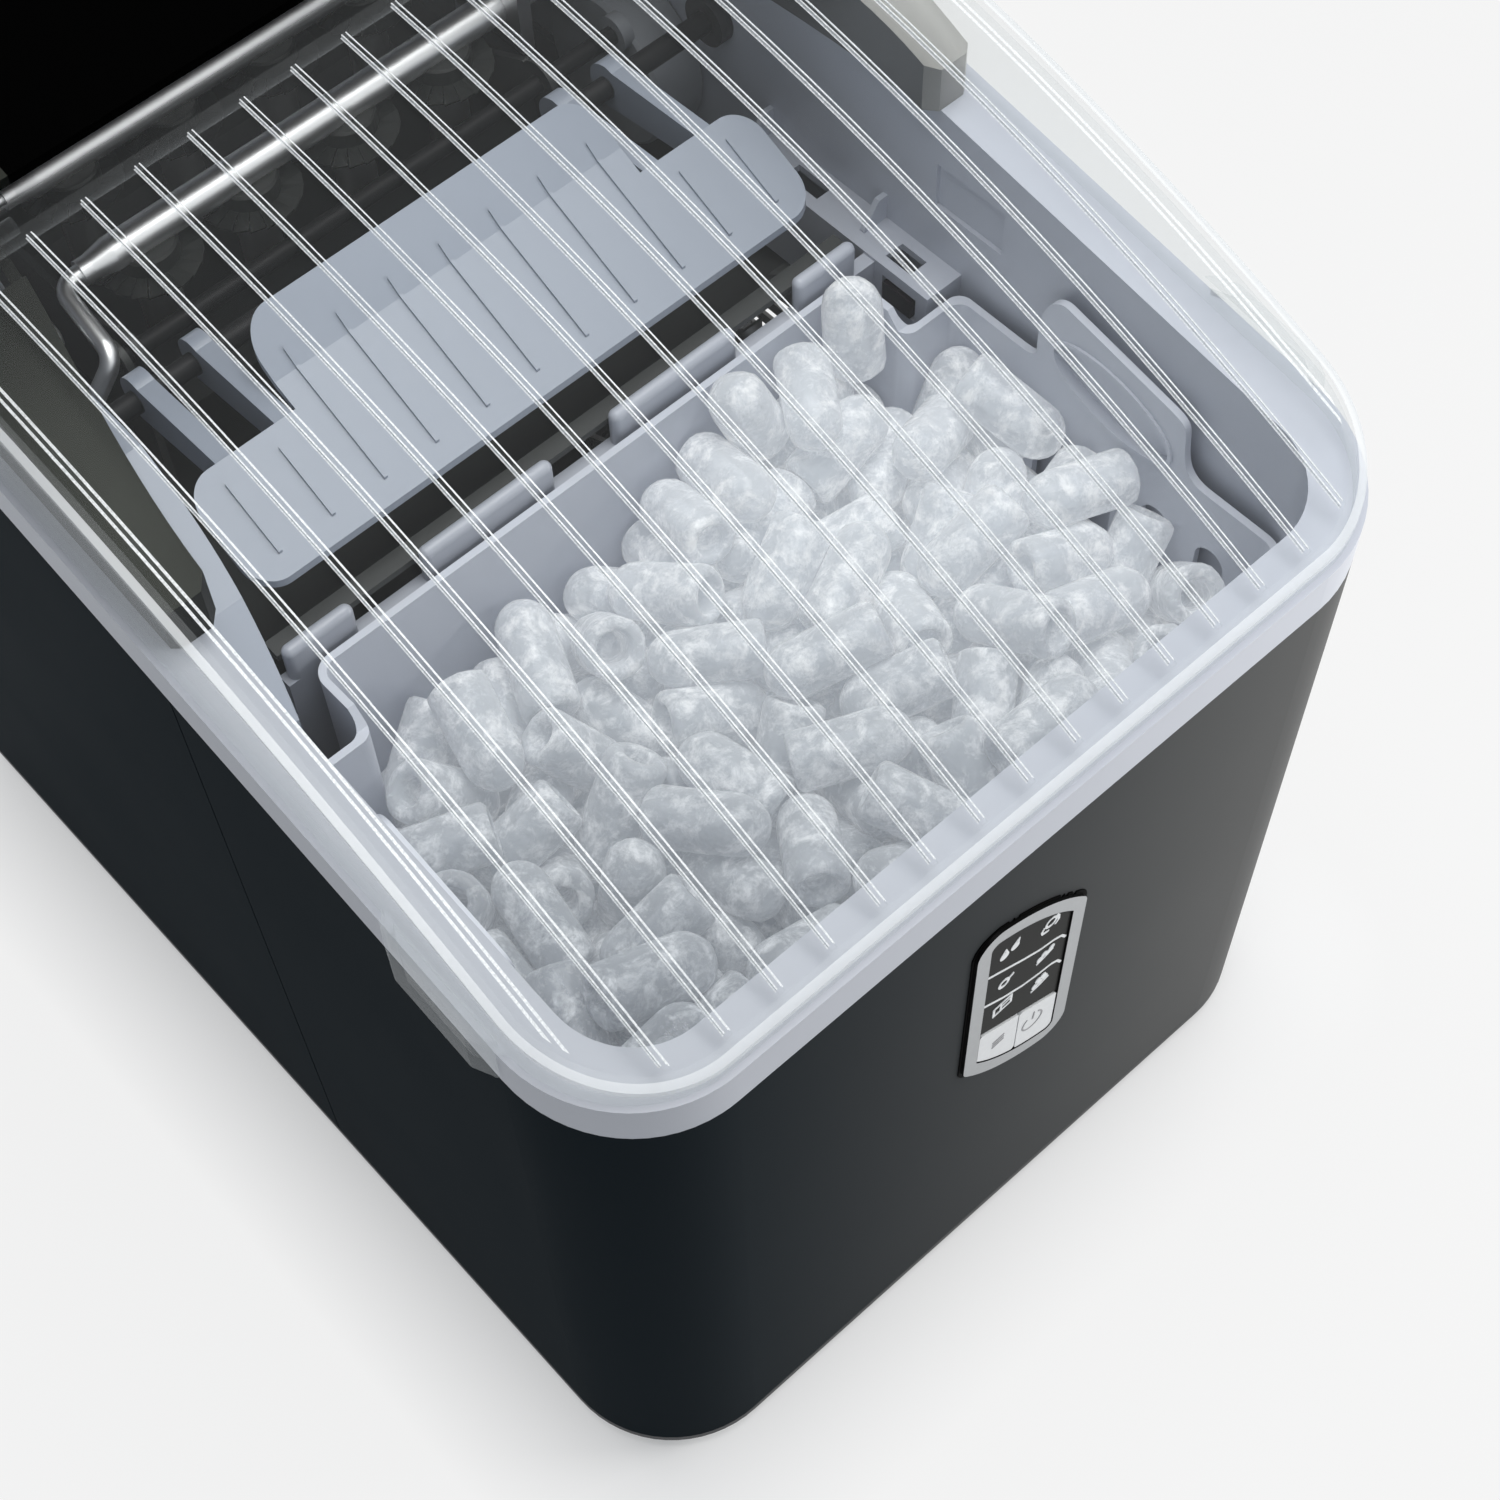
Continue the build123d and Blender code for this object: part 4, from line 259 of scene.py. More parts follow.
ROOM_WHITE = (0.905, 0.905, 0.905)
RAYS_THAT_SEE_THE_BACKDROP = ("Is Camera Ray", "Is Glossy Ray", "Is Transmission Ray")
world = bpy.data.worlds.new("room")
bpy.context.scene.world = world
world.use_nodes = True
sky = Nodes(world.node_tree)
direct = [sky.node("LightPath", out=ray) for ray in RAYS_THAT_SEE_THE_BACKDROP]
ambient = sky.node("Background", Color=(0.88, 0.94, 1.0), Strength=0.42)
backdrop = sky.node("Background", Color=ROOM_WHITE, Strength=1.0)
sky.show(sky.mix(direct[0].most(direct[1]).most(direct[2]), ambient, backdrop))

FLOOR_REACH = 4.0
SHADOW_HALF_W = 0.112
SHADOW_HALF_D = 0.155
SHADOW_FADE = 20.0
floor_mesh = bpy.data.meshes.new("floor")
floor_corners = [(-FLOOR_REACH, -FLOOR_REACH, 0), (FLOOR_REACH, -FLOOR_REACH, 0),
                 (FLOOR_REACH, FLOOR_REACH, 0), (-FLOOR_REACH, FLOOR_REACH, 0)]
floor_mesh.from_pydata(floor_corners, [], [(0, 1, 2, 3)])
floor = bpy.data.objects.new("floor", floor_mesh)
bpy.context.scene.collection.objects.link(floor)
card = Finish("floor_card", (0.92, 0.92, 0.92), 0.9, Specular_IOR_Level=0.1)
east, north = card.place()[1:3]
# Painted shadow: for camera rays the floor's white is painted down to 0.32 at the machine's footprint,
# rising to 0.92 within 5 cm and to 1.0 by 60 cm.
out_east = (abs(east) - SHADOW_HALF_W).most(0.0)
out_north = (abs(north) - SHADOW_HALF_D).most(0.0)
reach = (out_east * out_east + out_north * out_north) ** 0.5
clear_of_painted_shadow = (reach * SHADOW_FADE).least(1.0)
painted_shadow_outer_fade = ((reach - 0.10) * 2.0).held()
seen, mirrored, seen_through = [card.node("LightPath", out=ray) for ray in RAYS_THAT_SEE_THE_BACKDROP]
floor_white_with_painted_shadow = 0.32 + clear_of_painted_shadow * 0.60 + painted_shadow_outer_fade * 0.08
floor_glow_share_with_painted_shadow = seen.most(seen_through) * floor_white_with_painted_shadow + mirrored * 0.25
glow = card.node("Emission", Color=ROOM_WHITE)
card.show(card.mix(floor_glow_share_with_painted_shadow, card.coat, glow))
card.over(floor)

# ---------------------------------------------------------------- base pan and feet
# The pan is one black moulding that carries everything; four rubber feet
# are pushed into its bosses.
pan_black = Finish("pan_black", (0.018, 0.018, 0.020), 0.5)
grain = pan_black.noise(900.0)
pan_black.set(Roughness=0.42 + grain * 0.16, Normal=pan_black.bumps(grain, 0.00008))
pan_black.over(nodes["base_pan"], nodes["fan_shroud"], nodes["drain_cap"], nodes["cord_gland"],
               nodes["shaft_bush"])

foot_rubber = Finish("foot_rubber", (0.020, 0.020, 0.020), 0.75, Specular_IOR_Level=0.3)
pores = foot_rubber.noise(1400.0)
foot_rubber.set(Normal=foot_rubber.bumps(pores, 0.0001))
foot_rubber.over(nodes["feet"], nodes["compressor_mounts"], nodes["drain_seal"],
                 nodes["pipe_grommets"])

# ---------------------------------------------------------------- sheet-metal body
# A front sheet bent round both front corners, two side sheets and a rear
# sheet, all coated in the same satin graphite and screwed at the back.
graphite = Finish("graphite_coat", (0.02, 0.02, 0.02), 0.42, Specular_IOR_Level=0.2, IOR=1.05)
east = graphite.place()[1]
dust = graphite.noise(2600.0)
drift = graphite.noise(14.0, 3.0)
# Painted light: the coat and its flakes are painted dark and bluish on the left side and lighter and more
# metallic towards the right, as if lit from the right.
painted_light_from_right = ((east + 0.115) * 4.4).held()
painted_light_ramp = painted_light_from_right ** 1.3
coat = graphite.blend(painted_light_ramp, (0.0075, 0.0120, 0.0155), (0.094, 0.094, 0.093))
flake_with_painted_light = graphite.blend(painted_light_ramp, (0.0105, 0.0155, 0.0195), (0.130, 0.130, 0.129))
graphite.set(Base_Color=graphite.blend(dust * 0.5, coat, flake_with_painted_light), Metallic=painted_light_ramp * 0.4,
             Roughness=0.40 + drift * 0.08 + dust * 0.04, Normal=graphite.bumps(dust, 0.00003, 0.6))
graphite.over(nodes["front_shell"], nodes["left_side_panel"], nodes["right_side_panel"],
              nodes["rear_panel"])

plain_steel = Finish("plain_steel", (0.55, 0.55, 0.56), 0.3, Metallic=1.0)
swirl = plain_steel.noise(700.0)
plain_steel.set(Roughness=0.24 + swirl * 0.18)
plain_steel.over(nodes["case_screws"], nodes["hinge_pins"], nodes["evaporator_bracket"])

# ---------------------------------------------------------------- liner
# One cool light-grey moulding: the rim band round the top, the tub walls,
# the reservoir below and the divider across the middle.
liner_grey = Finish("liner_grey", (0.42, 0.45, 0.53), 0.34, Specular_IOR_Level=0.45)
flow = liner_grey.noise(38.0, 3.0)
fine = liner_grey.noise(1500.0)
# Painted light: the grey is painted darker on the left and lighter on the right, as if lit from the right.
liner_painted_light_ramp = ((liner_grey.place()[1] + 0.13) * 4.5).held()
painted_shade_grey = liner_grey.blend(flow, (0.36, 0.375, 0.42), (0.39, 0.405, 0.45))
painted_lit_grey = liner_grey.blend(flow, (0.49, 0.51, 0.57), (0.54, 0.56, 0.62))
liner_grey.set(Base_Color=liner_grey.blend(liner_painted_light_ramp, painted_shade_grey, painted_lit_grey),
               Roughness=0.30 + flow * 0.08, Normal=liner_grey.bumps(fine, 0.00002, 0.5))
liner_grey.over(nodes["liner"])

# ---------------------------------------------------------------- machine space
# Compressor, condenser, fan and boards behind the divider, plus the pump
# and its hose in the reservoir.
oven_black = Finish("oven_black", (0.012, 0.012, 0.013), 0.35)
peel = oven_black.noise(260.0)
oven_black.set(Roughness=0.28 + peel * 0.15, Normal=oven_black.bumps(peel, 0.0001, 0.5))
oven_black.over(nodes["compressor"])

bare_aluminium = Finish("bare_aluminium", (0.66, 0.67, 0.69), 0.35, Metallic=1.0)
brushed = bare_aluminium.noise(500.0)
bare_aluminium.set(Roughness=0.28 + brushed * 0.2)
bare_aluminium.over(nodes["condenser"])

copper_pipe = Finish("copper_pipe", (0.62, 0.30, 0.18), 0.28, Metallic=1.0)
tarnish = copper_pipe.noise(60.0, 3.0)
copper_pipe.set(Base_Color=copper_pipe.blend(tarnish, (0.62, 0.30, 0.18), (0.42, 0.22, 0.15)),
                Roughness=0.22 + tarnish * 0.2)
copper_pipe.over(nodes["liquid_line"], nodes["discharge_line"], nodes["filter_drier"])

motor_grey = Finish("motor_grey", (0.30, 0.31, 0.33), 0.45)
cast = motor_grey.noise(900.0)
motor_grey.set(Roughness=0.38 + cast * 0.14, Normal=motor_grey.bumps(cast, 0.00005))
motor_grey.over(nodes["tray_motor"], nodes["shovel_motor"], nodes["fan_motor"])

board_green = Finish("board_green", (0.02, 0.11, 0.05), 0.4)
tracks = board_green.node("TexVoronoi", {"feature": "DISTANCE_TO_EDGE"},
                          Vector=board_green.place()[0], Scale=260.0)
board_green.set(Base_Color=board_green.blend(tracks > 0.06, (0.05, 0.20, 0.08), (0.02, 0.10, 0.045)))
board_green.over(nodes["main_board"], nodes["control_board"])

fan_black = Finish("fan_black", (0.014, 0.014, 0.015), 0.3)
sheen = fan_black.noise(300.0)
fan_black.set(Roughness=0.22 + sheen * 0.16)
fan_black.over(nodes["fan_blade"], nodes["water_pump"])

silicone = Finish("silicone", (0.62, 0.64, 0.66), 0.4, Subsurface_Weight=0.2,
                  Subsurface_Radius=(0.002, 0.002, 0.002))
bleed = silicone.noise(90.0)
silicone.set(Roughness=0.34 + bleed * 0.14)
silicone.over(nodes["water_hose"])

# ---------------------------------------------------------------- trough and water tray
# Two charcoal mouldings behind the divider: the fixed trough, and the tray
# that holds the water round the fingers and tips back to drop the ice.
charcoal = Finish("charcoal", (0.022, 0.023, 0.022), 0.5)
matt = charcoal.noise(800.0)
charcoal.set(Base_Color=charcoal.blend(matt, (0.032, 0.034, 0.033), (0.048, 0.050, 0.049)),
             Roughness=0.44 + matt * 0.16, Normal=charcoal.bumps(matt, 0.00004))
charcoal.over(nodes["evaporator_trough"], nodes["water_tray"])

# Painted shade: the tray rod and the shovel shaft are painted near black so that they read as shade between
# the shovel's lugs.
rods_painted_dark = Finish("rod_painted_shade", (0.012, 0.012, 0.013), 0.4, Metallic=0.2, Specular_IOR_Level=0.2)
drawn = rods_painted_dark.noise(800.0)
rods_painted_dark.set(Roughness=0.44 + drawn * 0.16)
rods_painted_dark.over(nodes["tray_rod"], nodes["shovel_shaft"])

# ---------------------------------------------------------------- evaporator
# A bright chromed tube bent back on itself, with eight fingers below it
# and two thinner pipes that leave forwards on the left.
chromed = Finish("chromed", (0.93, 0.94, 0.95), 0.1, Metallic=1.0)
haze = chromed.noise(160.0, 3.0)
chromed.set(Roughness=0.36 + haze * 0.06)
chromed.over(nodes["evaporator"], nodes["suction_line"], nodes["feed_line"])

# ---------------------------------------------------------------- finger boots
# A dark rubber boot is pushed over the root of every finger. Its skirt is
# slit into petals that wipe the ice off and keep splashes in the tray.
BOOT_ROWS = (0.096, 0.130)
BOOTS_IN_ROW = 4
BOOT_PITCH = 0.031
BOOT_FOOT_Z = 0.2262
BOOT_SLEEVE = [(0.0058, BOOT_FOOT_Z), (0.0083, BOOT_FOOT_Z), (0.0083, 0.2334), (0.0077, 0.2340)]
BOOT_TOP_Z = 0.2341
BOOT_SIDES = 40
PETALS = 20
PETAL_ROOT = (0.0082, 0.2292)
PETAL_TIP = (0.0138, 0.2284)
PETAL_THICK = 0.0005
PETAL_TWIST = 0.0003
boots = bmesh.new()


def boot_point(middle, r, angle, z):
    return boots.verts.new(middle + Vector((r * math.cos(angle), r * math.sin(angle), z)))


def sleeve(middle):
    rings = [[boot_point(middle, r, math.tau * k / BOOT_SIDES, z) for k in range(BOOT_SIDES)]
             for r, z in BOOT_SLEEVE]
    crown = boot_point(middle, 0.0, 0.0, BOOT_TOP_Z)
    root = boot_point(middle, 0.0, 0.0, BOOT_FOOT_Z)
    for k in range(BOOT_SIDES):
        after = (k + 1) % BOOT_SIDES
        for first, second in zip(rings, rings[1:]):
            boots.faces.new((first[k], first[after], second[after], second[k]))
        boots.faces.new((rings[-1][k], rings[-1][after], crown))
        boots.faces.new((rings[0][after], rings[0][k], root))


def petal(middle, number):
    corners = []
    for lift in (0.0, -PETAL_THICK):
        for r, z in (PETAL_ROOT, PETAL_TIP):
            twist = PETAL_TWIST * (r - 0.008) / 0.005
            for share, rise in ((0.03, -twist), (0.97, twist)):
                corners.append(boot_point(middle, r, math.tau * (number + share) / PETALS, z + rise + lift))
    for face in ((0, 2, 3, 1), (4, 5, 7, 6), (0, 1, 5, 4), (2, 6, 7, 3), (0, 4, 6, 2), (1, 3, 7, 5)):
        boots.faces.new([corners[corner] for corner in face])


for row in BOOT_ROWS:
    for number in range(BOOTS_IN_ROW):
        finger = Vector((BOOT_PITCH * (number - (BOOTS_IN_ROW - 1) / 2), row, 0.0))
        sleeve(finger)
        for slit in range(PETALS):
            petal(finger, slit)
boot_mesh = bpy.data.meshes.new("finger_boots")
boots.to_mesh(boot_mesh)
boots.free()
finger_boots = bpy.data.objects.new("finger_boots", boot_mesh)
bpy.context.scene.collection.objects.link(finger_boots)
boot_rubber = Finish("boot_rubber", (0.018, 0.020, 0.018), 0.36, Specular_IOR_Level=0.4)
bloom = boot_rubber.noise(600.0)
boot_rubber.set(Base_Color=boot_rubber.blend(bloom, (0.014, 0.016, 0.014), (0.026, 0.028, 0.026)),
                Roughness=0.30 + bloom * 0.16)
boot_rubber.over(finger_boots)
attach(finger_boots, "case")

# ---------------------------------------------------------------- shovel and gear cover
# The ridged shovel, the cover over its gear motor, and the water spout are
# moulded in the same light grey as the basket.
pale_grey = Finish("pale_grey", (0.40, 0.43, 0.51), 0.36)
veil = pale_grey.noise(45.0, 3.0)
skin = pale_grey.noise(1500.0)
pale_grey.set(Base_Color=pale_grey.blend(veil, (0.305, 0.335, 0.395), (0.34, 0.37, 0.43)),
              Roughness=0.32 + veil * 0.08, Normal=pale_grey.bumps(skin, 0.00002, 0.5))
pale_grey.over(nodes["ice_shovel"], nodes["gear_cover"], nodes["water_spout"])

sensor_lens = Finish("sensor_lens", (0.010, 0.006, 0.010), 0.12)
smear = sensor_lens.noise(300.0)
sensor_lens.set(Roughness=0.08 + smear * 0.1)
sensor_lens.over(nodes["ice_sensors"])

# ---------------------------------------------------------------- basket
# A light grey tub with a stepped rear, grips and side slots; it lifts out
# with the ice.
basket_grey = Finish("basket_grey", (0.40, 0.43, 0.50), 0.36, Subsurface_Weight=0.08,
                     Subsurface_Radius=(0.003, 0.003, 0.003))
cloud = basket_grey.noise(42.0, 3.0)
touch = basket_grey.noise(1500.0)
basket_grey.set(Base_Color=basket_grey.blend(cloud, (0.58, 0.60, 0.66), (0.64, 0.66, 0.72)),
                Roughness=0.32 + cloud * 0.09, Normal=basket_grey.bumps(touch, 0.00002, 0.5))
basket_grey.over(nodes["ice_basket"])

# ---------------------------------------------------------------- ice
# Bullet-shaped pieces, frozen round the eight fingers, so each is a round-ended
# plug of cloudy ice with a tapering bore. They tumble over the shovel's edge
# and heap up loose in the basket, which they fill nearly to its rim.
BASKET_WALL = 0.003
BASKET_FLOOR = 0.0025
basket_low, basket_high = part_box("ice_basket")
left, right = basket_low[0] + BASKET_WALL, basket_high[0] - BASKET_WALL
front, rear = basket_low[1] + BASKET_WALL, basket_high[1] - BASKET_WALL
bottom = basket_low[2] + BASKET_FLOOR
grip_x = basket_high[0] - 0.0062
grip_front, grip_rear, grip_foot = front + 0.03, front + 0.085, bottom + 0.085
neck_x = basket_high[0] - 0.0228
step_y = basket_high[1] - 0.0217
ICE_PIECES = 264
ICE_LENGTH = 0.0300
ICE_RADIUS = 0.0078
ICE_BORE = 0.0044
AROUND = 20
TUMBLE_SCALE = 20.0
SETTLE_FRAMES = 130
dice = random.Random(41)


def bullet(length, radius, bore):
    nose = radius * 1.05
    neck = radius * 0.975
    pit_r = bore * 0.84
    outside = [(bore + 0.0007, 0.0), (radius - 0.0014, 0.0001), (radius - 0.0003, 0.0009),
               (radius, 0.0022), (radius * 0.99, length * 0.35), (neck, length - nose)]
    inside = [(bore, 0.0007), (bore * 0.93, length * 0.30), (pit_r, length * 0.58)]
    for angle in (math.pi / 2 * k / 6 for k in range(1, 6)):
        outside.append((neck * math.cos(angle), length - nose + nose * math.sin(angle)))
    for angle in (math.pi / 2 * k / 3 for k in range(1, 3)):
        inside.append((pit_r * math.cos(angle), length * (0.58 + 0.13 * math.sin(angle))))
    phase = dice.uniform(0, math.tau)
    flutes = [1.0 + dice.uniform(-0.028, 0.028) for step in range(AROUND)]
    shape = bmesh.new()

    def ring(r, z):
        points = []
        for step in range(AROUND):
            angle = math.tau * step / AROUND
            uneven = r * (flutes[step] + 0.008 * math.sin(3 * angle + phase + 190 * z))
            spot = (uneven * math.cos(angle), uneven * math.sin(angle), z - length / 2)
            points.append(shape.verts.new(spot))
        return points

    def skin(first, second):
        for step in range(AROUND):
            after = (step + 1) % AROUND
            shape.faces.new((first[step], first[after], second[after], second[step]))

    outer = [ring(r, z) for r, z in outside]
    inner = [ring(r, z) for r, z in inside]
    for first, second in zip(outer, outer[1:]):
        skin(first, second)
    skin(inner[0], outer[0])
    for first, second in zip(inner, inner[1:]):
        skin(second, first)
    tip = shape.verts.new((0, 0, length / 2))
    pit = shape.verts.new((0, 0, length * 0.71 - length / 2))
    for step in range(AROUND):
        after = (step + 1) % AROUND
        shape.faces.new((outer[-1][step], outer[-1][after], tip))
        shape.faces.new((inner[-1][after], inner[-1][step], pit))
    mesh = bpy.data.meshes.new("bullet")
    shape.to_mesh(mesh)
    shape.free()
    return mesh


bpy.ops.rigidbody.world_add()
tumble = bpy.context.scene.rigidbody_world
tumble.collection = bpy.data.collections.new("tumble")
tumble.substeps_per_frame = 9
tumble.solver_iterations = 16
tumble.point_cache.frame_end = 200


def loose(name, mesh, kind):
    body = bpy.data.objects.new(name, mesh)
    bpy.context.scene.collection.objects.link(body)
    tumble.collection.objects.link(body)
    body.rigid_body.type = kind
    body.rigid_body.collision_shape = "CONVEX_HULL"
    body.rigid_body.use_margin = True
    body.rigid_body.collision_margin = 0.0
    body.rigid_body.friction = 0.35
    body.rigid_body.restitution = 0.05
    return body


def blocker(x0, x1, y0, y1, z0, z1):
    corners = [(x, y, z) for z in (z0, z1) for y in (y0, y1) for x in (x0, x1)]
    mesh = bpy.data.meshes.new("blocker")
    faces = [(0, 2, 3, 1), (4, 5, 7, 6), (0, 1, 5, 4), (2, 6, 7, 3), (0, 4, 6, 2), (1, 3, 7, 5)]
    mesh.from_pydata([Vector(corner) * TUMBLE_SCALE for corner in corners], [], faces)
    return loose("blocker", mesh, "PASSIVE")


# The walls of the basket, thick and very tall, so that nothing tumbles out.
THICK = 0.06
TALL = 1.2
walls = [blocker(left - THICK, right + THICK, front - THICK, rear + THICK, bottom - THICK, bottom),
         blocker(left - THICK, left, front - THICK, rear + THICK, bottom, TALL),
         blocker(right, right + THICK, front - THICK, rear + THICK, bottom, TALL),
         blocker(left, right, front - THICK, front, bottom, TALL),
         blocker(left, right, rear, rear + THICK, bottom, TALL),
         blocker(left, -neck_x, step_y, rear, bottom, TALL),
         blocker(neck_x, right, step_y, rear, bottom, TALL),
         blocker(left, -grip_x, grip_front, grip_rear, grip_foot, TALL),
         blocker(grip_x, right, grip_front, grip_rear, grip_foot, TALL)]
pieces = []
for number in range(ICE_PIECES):
    length = ICE_LENGTH * dice.uniform(0.90, 1.06)
    mesh = bullet(length, ICE_RADIUS * dice.uniform(0.93, 1.03), ICE_BORE * dice.uniform(0.80, 1.08))
    mesh.transform(Matrix.Scale(TUMBLE_SCALE, 4))
    piece = loose("ice_piece", mesh, "ACTIVE")
    piece.rigid_body.mass = 1.0
    layer, place = divmod(number, 12)
    across = -0.046 + 0.036 * (place % 4) + dice.uniform(-0.006, 0.006)
    along = rear - 0.026 - 0.030 * (place // 4) + dice.uniform(-0.006, 0.006)
    piece.location = Vector((across, along, bottom + 0.03 + 0.038 * layer)) * TUMBLE_SCALE
    piece.rotation_euler = [dice.uniform(0, math.tau) for axis in range(3)]
    pieces.append(piece)
for frame_number in range(1, SETTLE_FRAMES + 1):
    bpy.context.scene.frame_set(frame_number)
settled = bpy.context.evaluated_depsgraph_get()
heap = bmesh.new()
for piece in pieces:
    resting = Matrix.Scale(1 / TUMBLE_SCALE, 4) @ piece.evaluated_get(settled).matrix_world
    copy = piece.data.copy()
    copy.transform(resting)
    heap.from_mesh(copy)
    bpy.data.meshes.remove(copy)
ice_mesh = bpy.data.meshes.new("ice")
heap.to_mesh(ice_mesh)
heap.free()
for leftover in pieces + walls:
    bpy.data.objects.remove(leftover)
bpy.ops.rigidbody.world_remove()
bpy.context.scene.frame_set(1)
for polygon in ice_mesh.polygons:
    polygon.use_smooth = True
ice = bpy.data.objects.new("ice", ice_mesh)
bpy.context.scene.collection.objects.link(ice)

# Painted light: the ice glows faintly in its own colours (emission strength 0.13), standing in for light
# scattered inside it.
frozen = Finish("frozen", (0.93, 0.94, 0.95), 0.2, Specular_IOR_Level=0.8, IOR=1.31,
                Transmission_Weight=0.1, Emission_Strength=0.13)
east, north = frozen.place()[1:3]
crackle = frozen.noise(650.0, 4.0)
cloud = frozen.noise(170.0, 6.0, Roughness=0.7, Distortion=0.3)
milk = ((cloud - 0.45) * 5.0).held()
# Painted shade: pieces towards the front left corner are painted darker, clear and cloudy parts alike.
painted_shade_front_left = ((-east - north - 0.02) * 5.0).held()
clear_ice_and_painted_shade = frozen.blend(painted_shade_front_left, (0.72, 0.745, 0.78), (0.40, 0.42, 0.45))
white_ice_and_painted_shade = frozen.blend(painted_shade_front_left, (0.99, 0.99, 0.99), (0.66, 0.68, 0.71))
# Painted highlight: where a piece is seen edge-on it is painted whiter and made less clear.
painted_edge_highlight = frozen.node("LayerWeight", out="Facing", Blend=0.30)
frozen.set(Base_Color=frozen.blend(milk.most(painted_edge_highlight), clear_ice_and_painted_shade, white_ice_and_painted_shade),
           Roughness=0.05 + crackle * 0.22, Emission_Color=frozen.blend(milk, clear_ice_and_painted_shade, white_ice_and_painted_shade),
           Normal=frozen.bumps(crackle, 0.0006, 0.5))
frozen.let_through(0.46 + milk * 0.36 + painted_edge_highlight * 0.50, (0.98, 0.99, 1.0))
frozen.over(ice)
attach(ice, "basket")

# ---------------------------------------------------------------- rear cover
# One black moulding closes the rear of the top. Its skin is matt; the two
# arms that reach forward beside the ice and carry the lid's pins are
# metallised in dark bronze and polished.
ARM_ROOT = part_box("top_cover")[1][1] - 0.083
ARM_INSIDE = 0.080
cover_black = Finish("cover_black", (0.003, 0.003, 0.003), 0.5, Specular_IOR_Level=0.1, IOR=1.03)
east, north = cover_black.place()[1:3]
on_arm = (north < ARM_ROOT) * (abs(east) > ARM_INSIDE)
ripple = cover_black.noise(60.0)
grit = cover_black.noise(1600.0)
# Painted light: only the right arm is painted a light bronze towards its outer edge; the left arm and the
# inner edges stay dark bronze.
painted_light_outer_band = ((abs(east) - 0.090) * 40.0).held()
bronze_and_painted_light = cover_black.blend(painted_light_outer_band * (east > 0.0), (0.014, 0.015, 0.013), (0.34, 0.34, 0.33))
cover_black.set(Base_Color=cover_black.blend(on_arm, (0.0008, 0.0008, 0.0008), bronze_and_painted_light),
                Metallic=on_arm * 0.9, Roughness=0.50 - on_arm * 0.14 + ripple * 0.06,
                Normal=cover_black.bumps(grit, 0.00002, 0.1))
cover_black.over(nodes["top_cover"])

# ---------------------------------------------------------------- lid
# A bowed clear acrylic lid. Its moulded ribs run front to back. Painted
# highlights run along both edges of every rib, with painted shade on each
# crown, and along the polished upper and lower edges of its skirt, and the
# lid is painted whiter where it is seen at a slant. It swings up on two pins at the rear.
LID_RIB_PITCH = 0.0143
LID_RIB_HALF = 0.00076
LID_CORNER = 0.0326
LID_BACK_RIB = 0.061
LID_HALF = 0.121
LID_FRONT_Y = -0.165
LID_TOP_Z, LID_TOP_RISE, LID_TOP_BOW = 0.232, 0.468, 0.9
LID_FOOT_Z, LID_FOOT_RISE = 0.2156, 0.17633
lid_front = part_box("lid")[0][1]
clear = Finish("clear_lid", (0.93, 0.945, 0.95), 0.16, Specular_IOR_Level=0.5)
east, north, height = clear.place()[1:]
depth = north - LID_FRONT_Y
top_skin = LID_TOP_Z + depth * LID_TOP_RISE - depth * depth * LID_TOP_BOW
bottom_edge = LID_FOOT_Z + depth * LID_FOOT_RISE
upper = height > (top_skin - 0.0006)
aside = (abs(east) - (LID_HALF - LID_CORNER)).most(0.0)
ahead = (lid_front + LID_CORNER - north).most(0.0)
outline = (aside * aside + ahead * ahead) ** 0.5 - LID_CORNER
roughness_and_glint_noise = clear.noise(1900.0)
from_rib = abs((east + LID_RIB_PITCH * 8.5) % LID_RIB_PITCH - LID_RIB_PITCH / 2)
ribbed = upper * (outline < -0.0045) * (north < LID_BACK_RIB)
# Painted highlights: thin white lines along both edges of every rib, along the rim and along the foot of
# the skirt; painted shade along each rib's crown.
painted_rib_glints = (abs(from_rib - LID_RIB_HALF) < 0.00033) * ribbed
rib_crown_painted_shade = (from_rib < LID_RIB_HALF) * ribbed
painted_rim_highlight = (outline > -0.0019) * (height > (top_skin - 0.0017))
painted_foot_highlight = (height < (bottom_edge + 0.0011)) * (outline > -0.004)
skirt = (height < (top_skin - 0.0017)) * (outline > -0.004)
# Painted sheen: the lid turns whiter where it is seen at a slant.
painted_slant_sheen = clear.node("LayerWeight", out="Facing", Blend=0.25)
haze_and_painted_highlights = 0.008 + skirt * 0.06 + rib_crown_painted_shade * 0.035 + painted_slant_sheen ** 2.0 * 0.35
haze_and_painted_highlights = haze_and_painted_highlights.most(painted_rib_glints * (0.25 + roughness_and_glint_noise * 0.9)).most(painted_rim_highlight * 0.46).most(painted_foot_highlight * 0.40)
clear.set(Base_Color=clear.blend(rib_crown_painted_shade - painted_rib_glints, (0.86, 0.88, 0.89), (0.35, 0.37, 0.38)),
          Roughness=0.10 + roughness_and_glint_noise * 0.2)
clear.let_through(haze_and_painted_highlights, (0.985, 0.99, 0.99))
clear.over(nodes["lid"])

# ---------------------------------------------------------------- control panel
# A bright leaning bezel with a dark window for the indicator lights over
# two light keys.
bright_trim = Finish("bright_trim", (0.72, 0.73, 0.75), 0.22, Metallic=1.0)
rub = bright_trim.noise(900.0)
trim_way = bright_trim.node("NewGeometry", out="Normal")
facing_out = abs(bright_trim.node("SeparateXYZ", out=1, Vector=trim_way))
facing_down = bright_trim.node("SeparateXYZ", out=2, Vector=trim_way) < -0.3
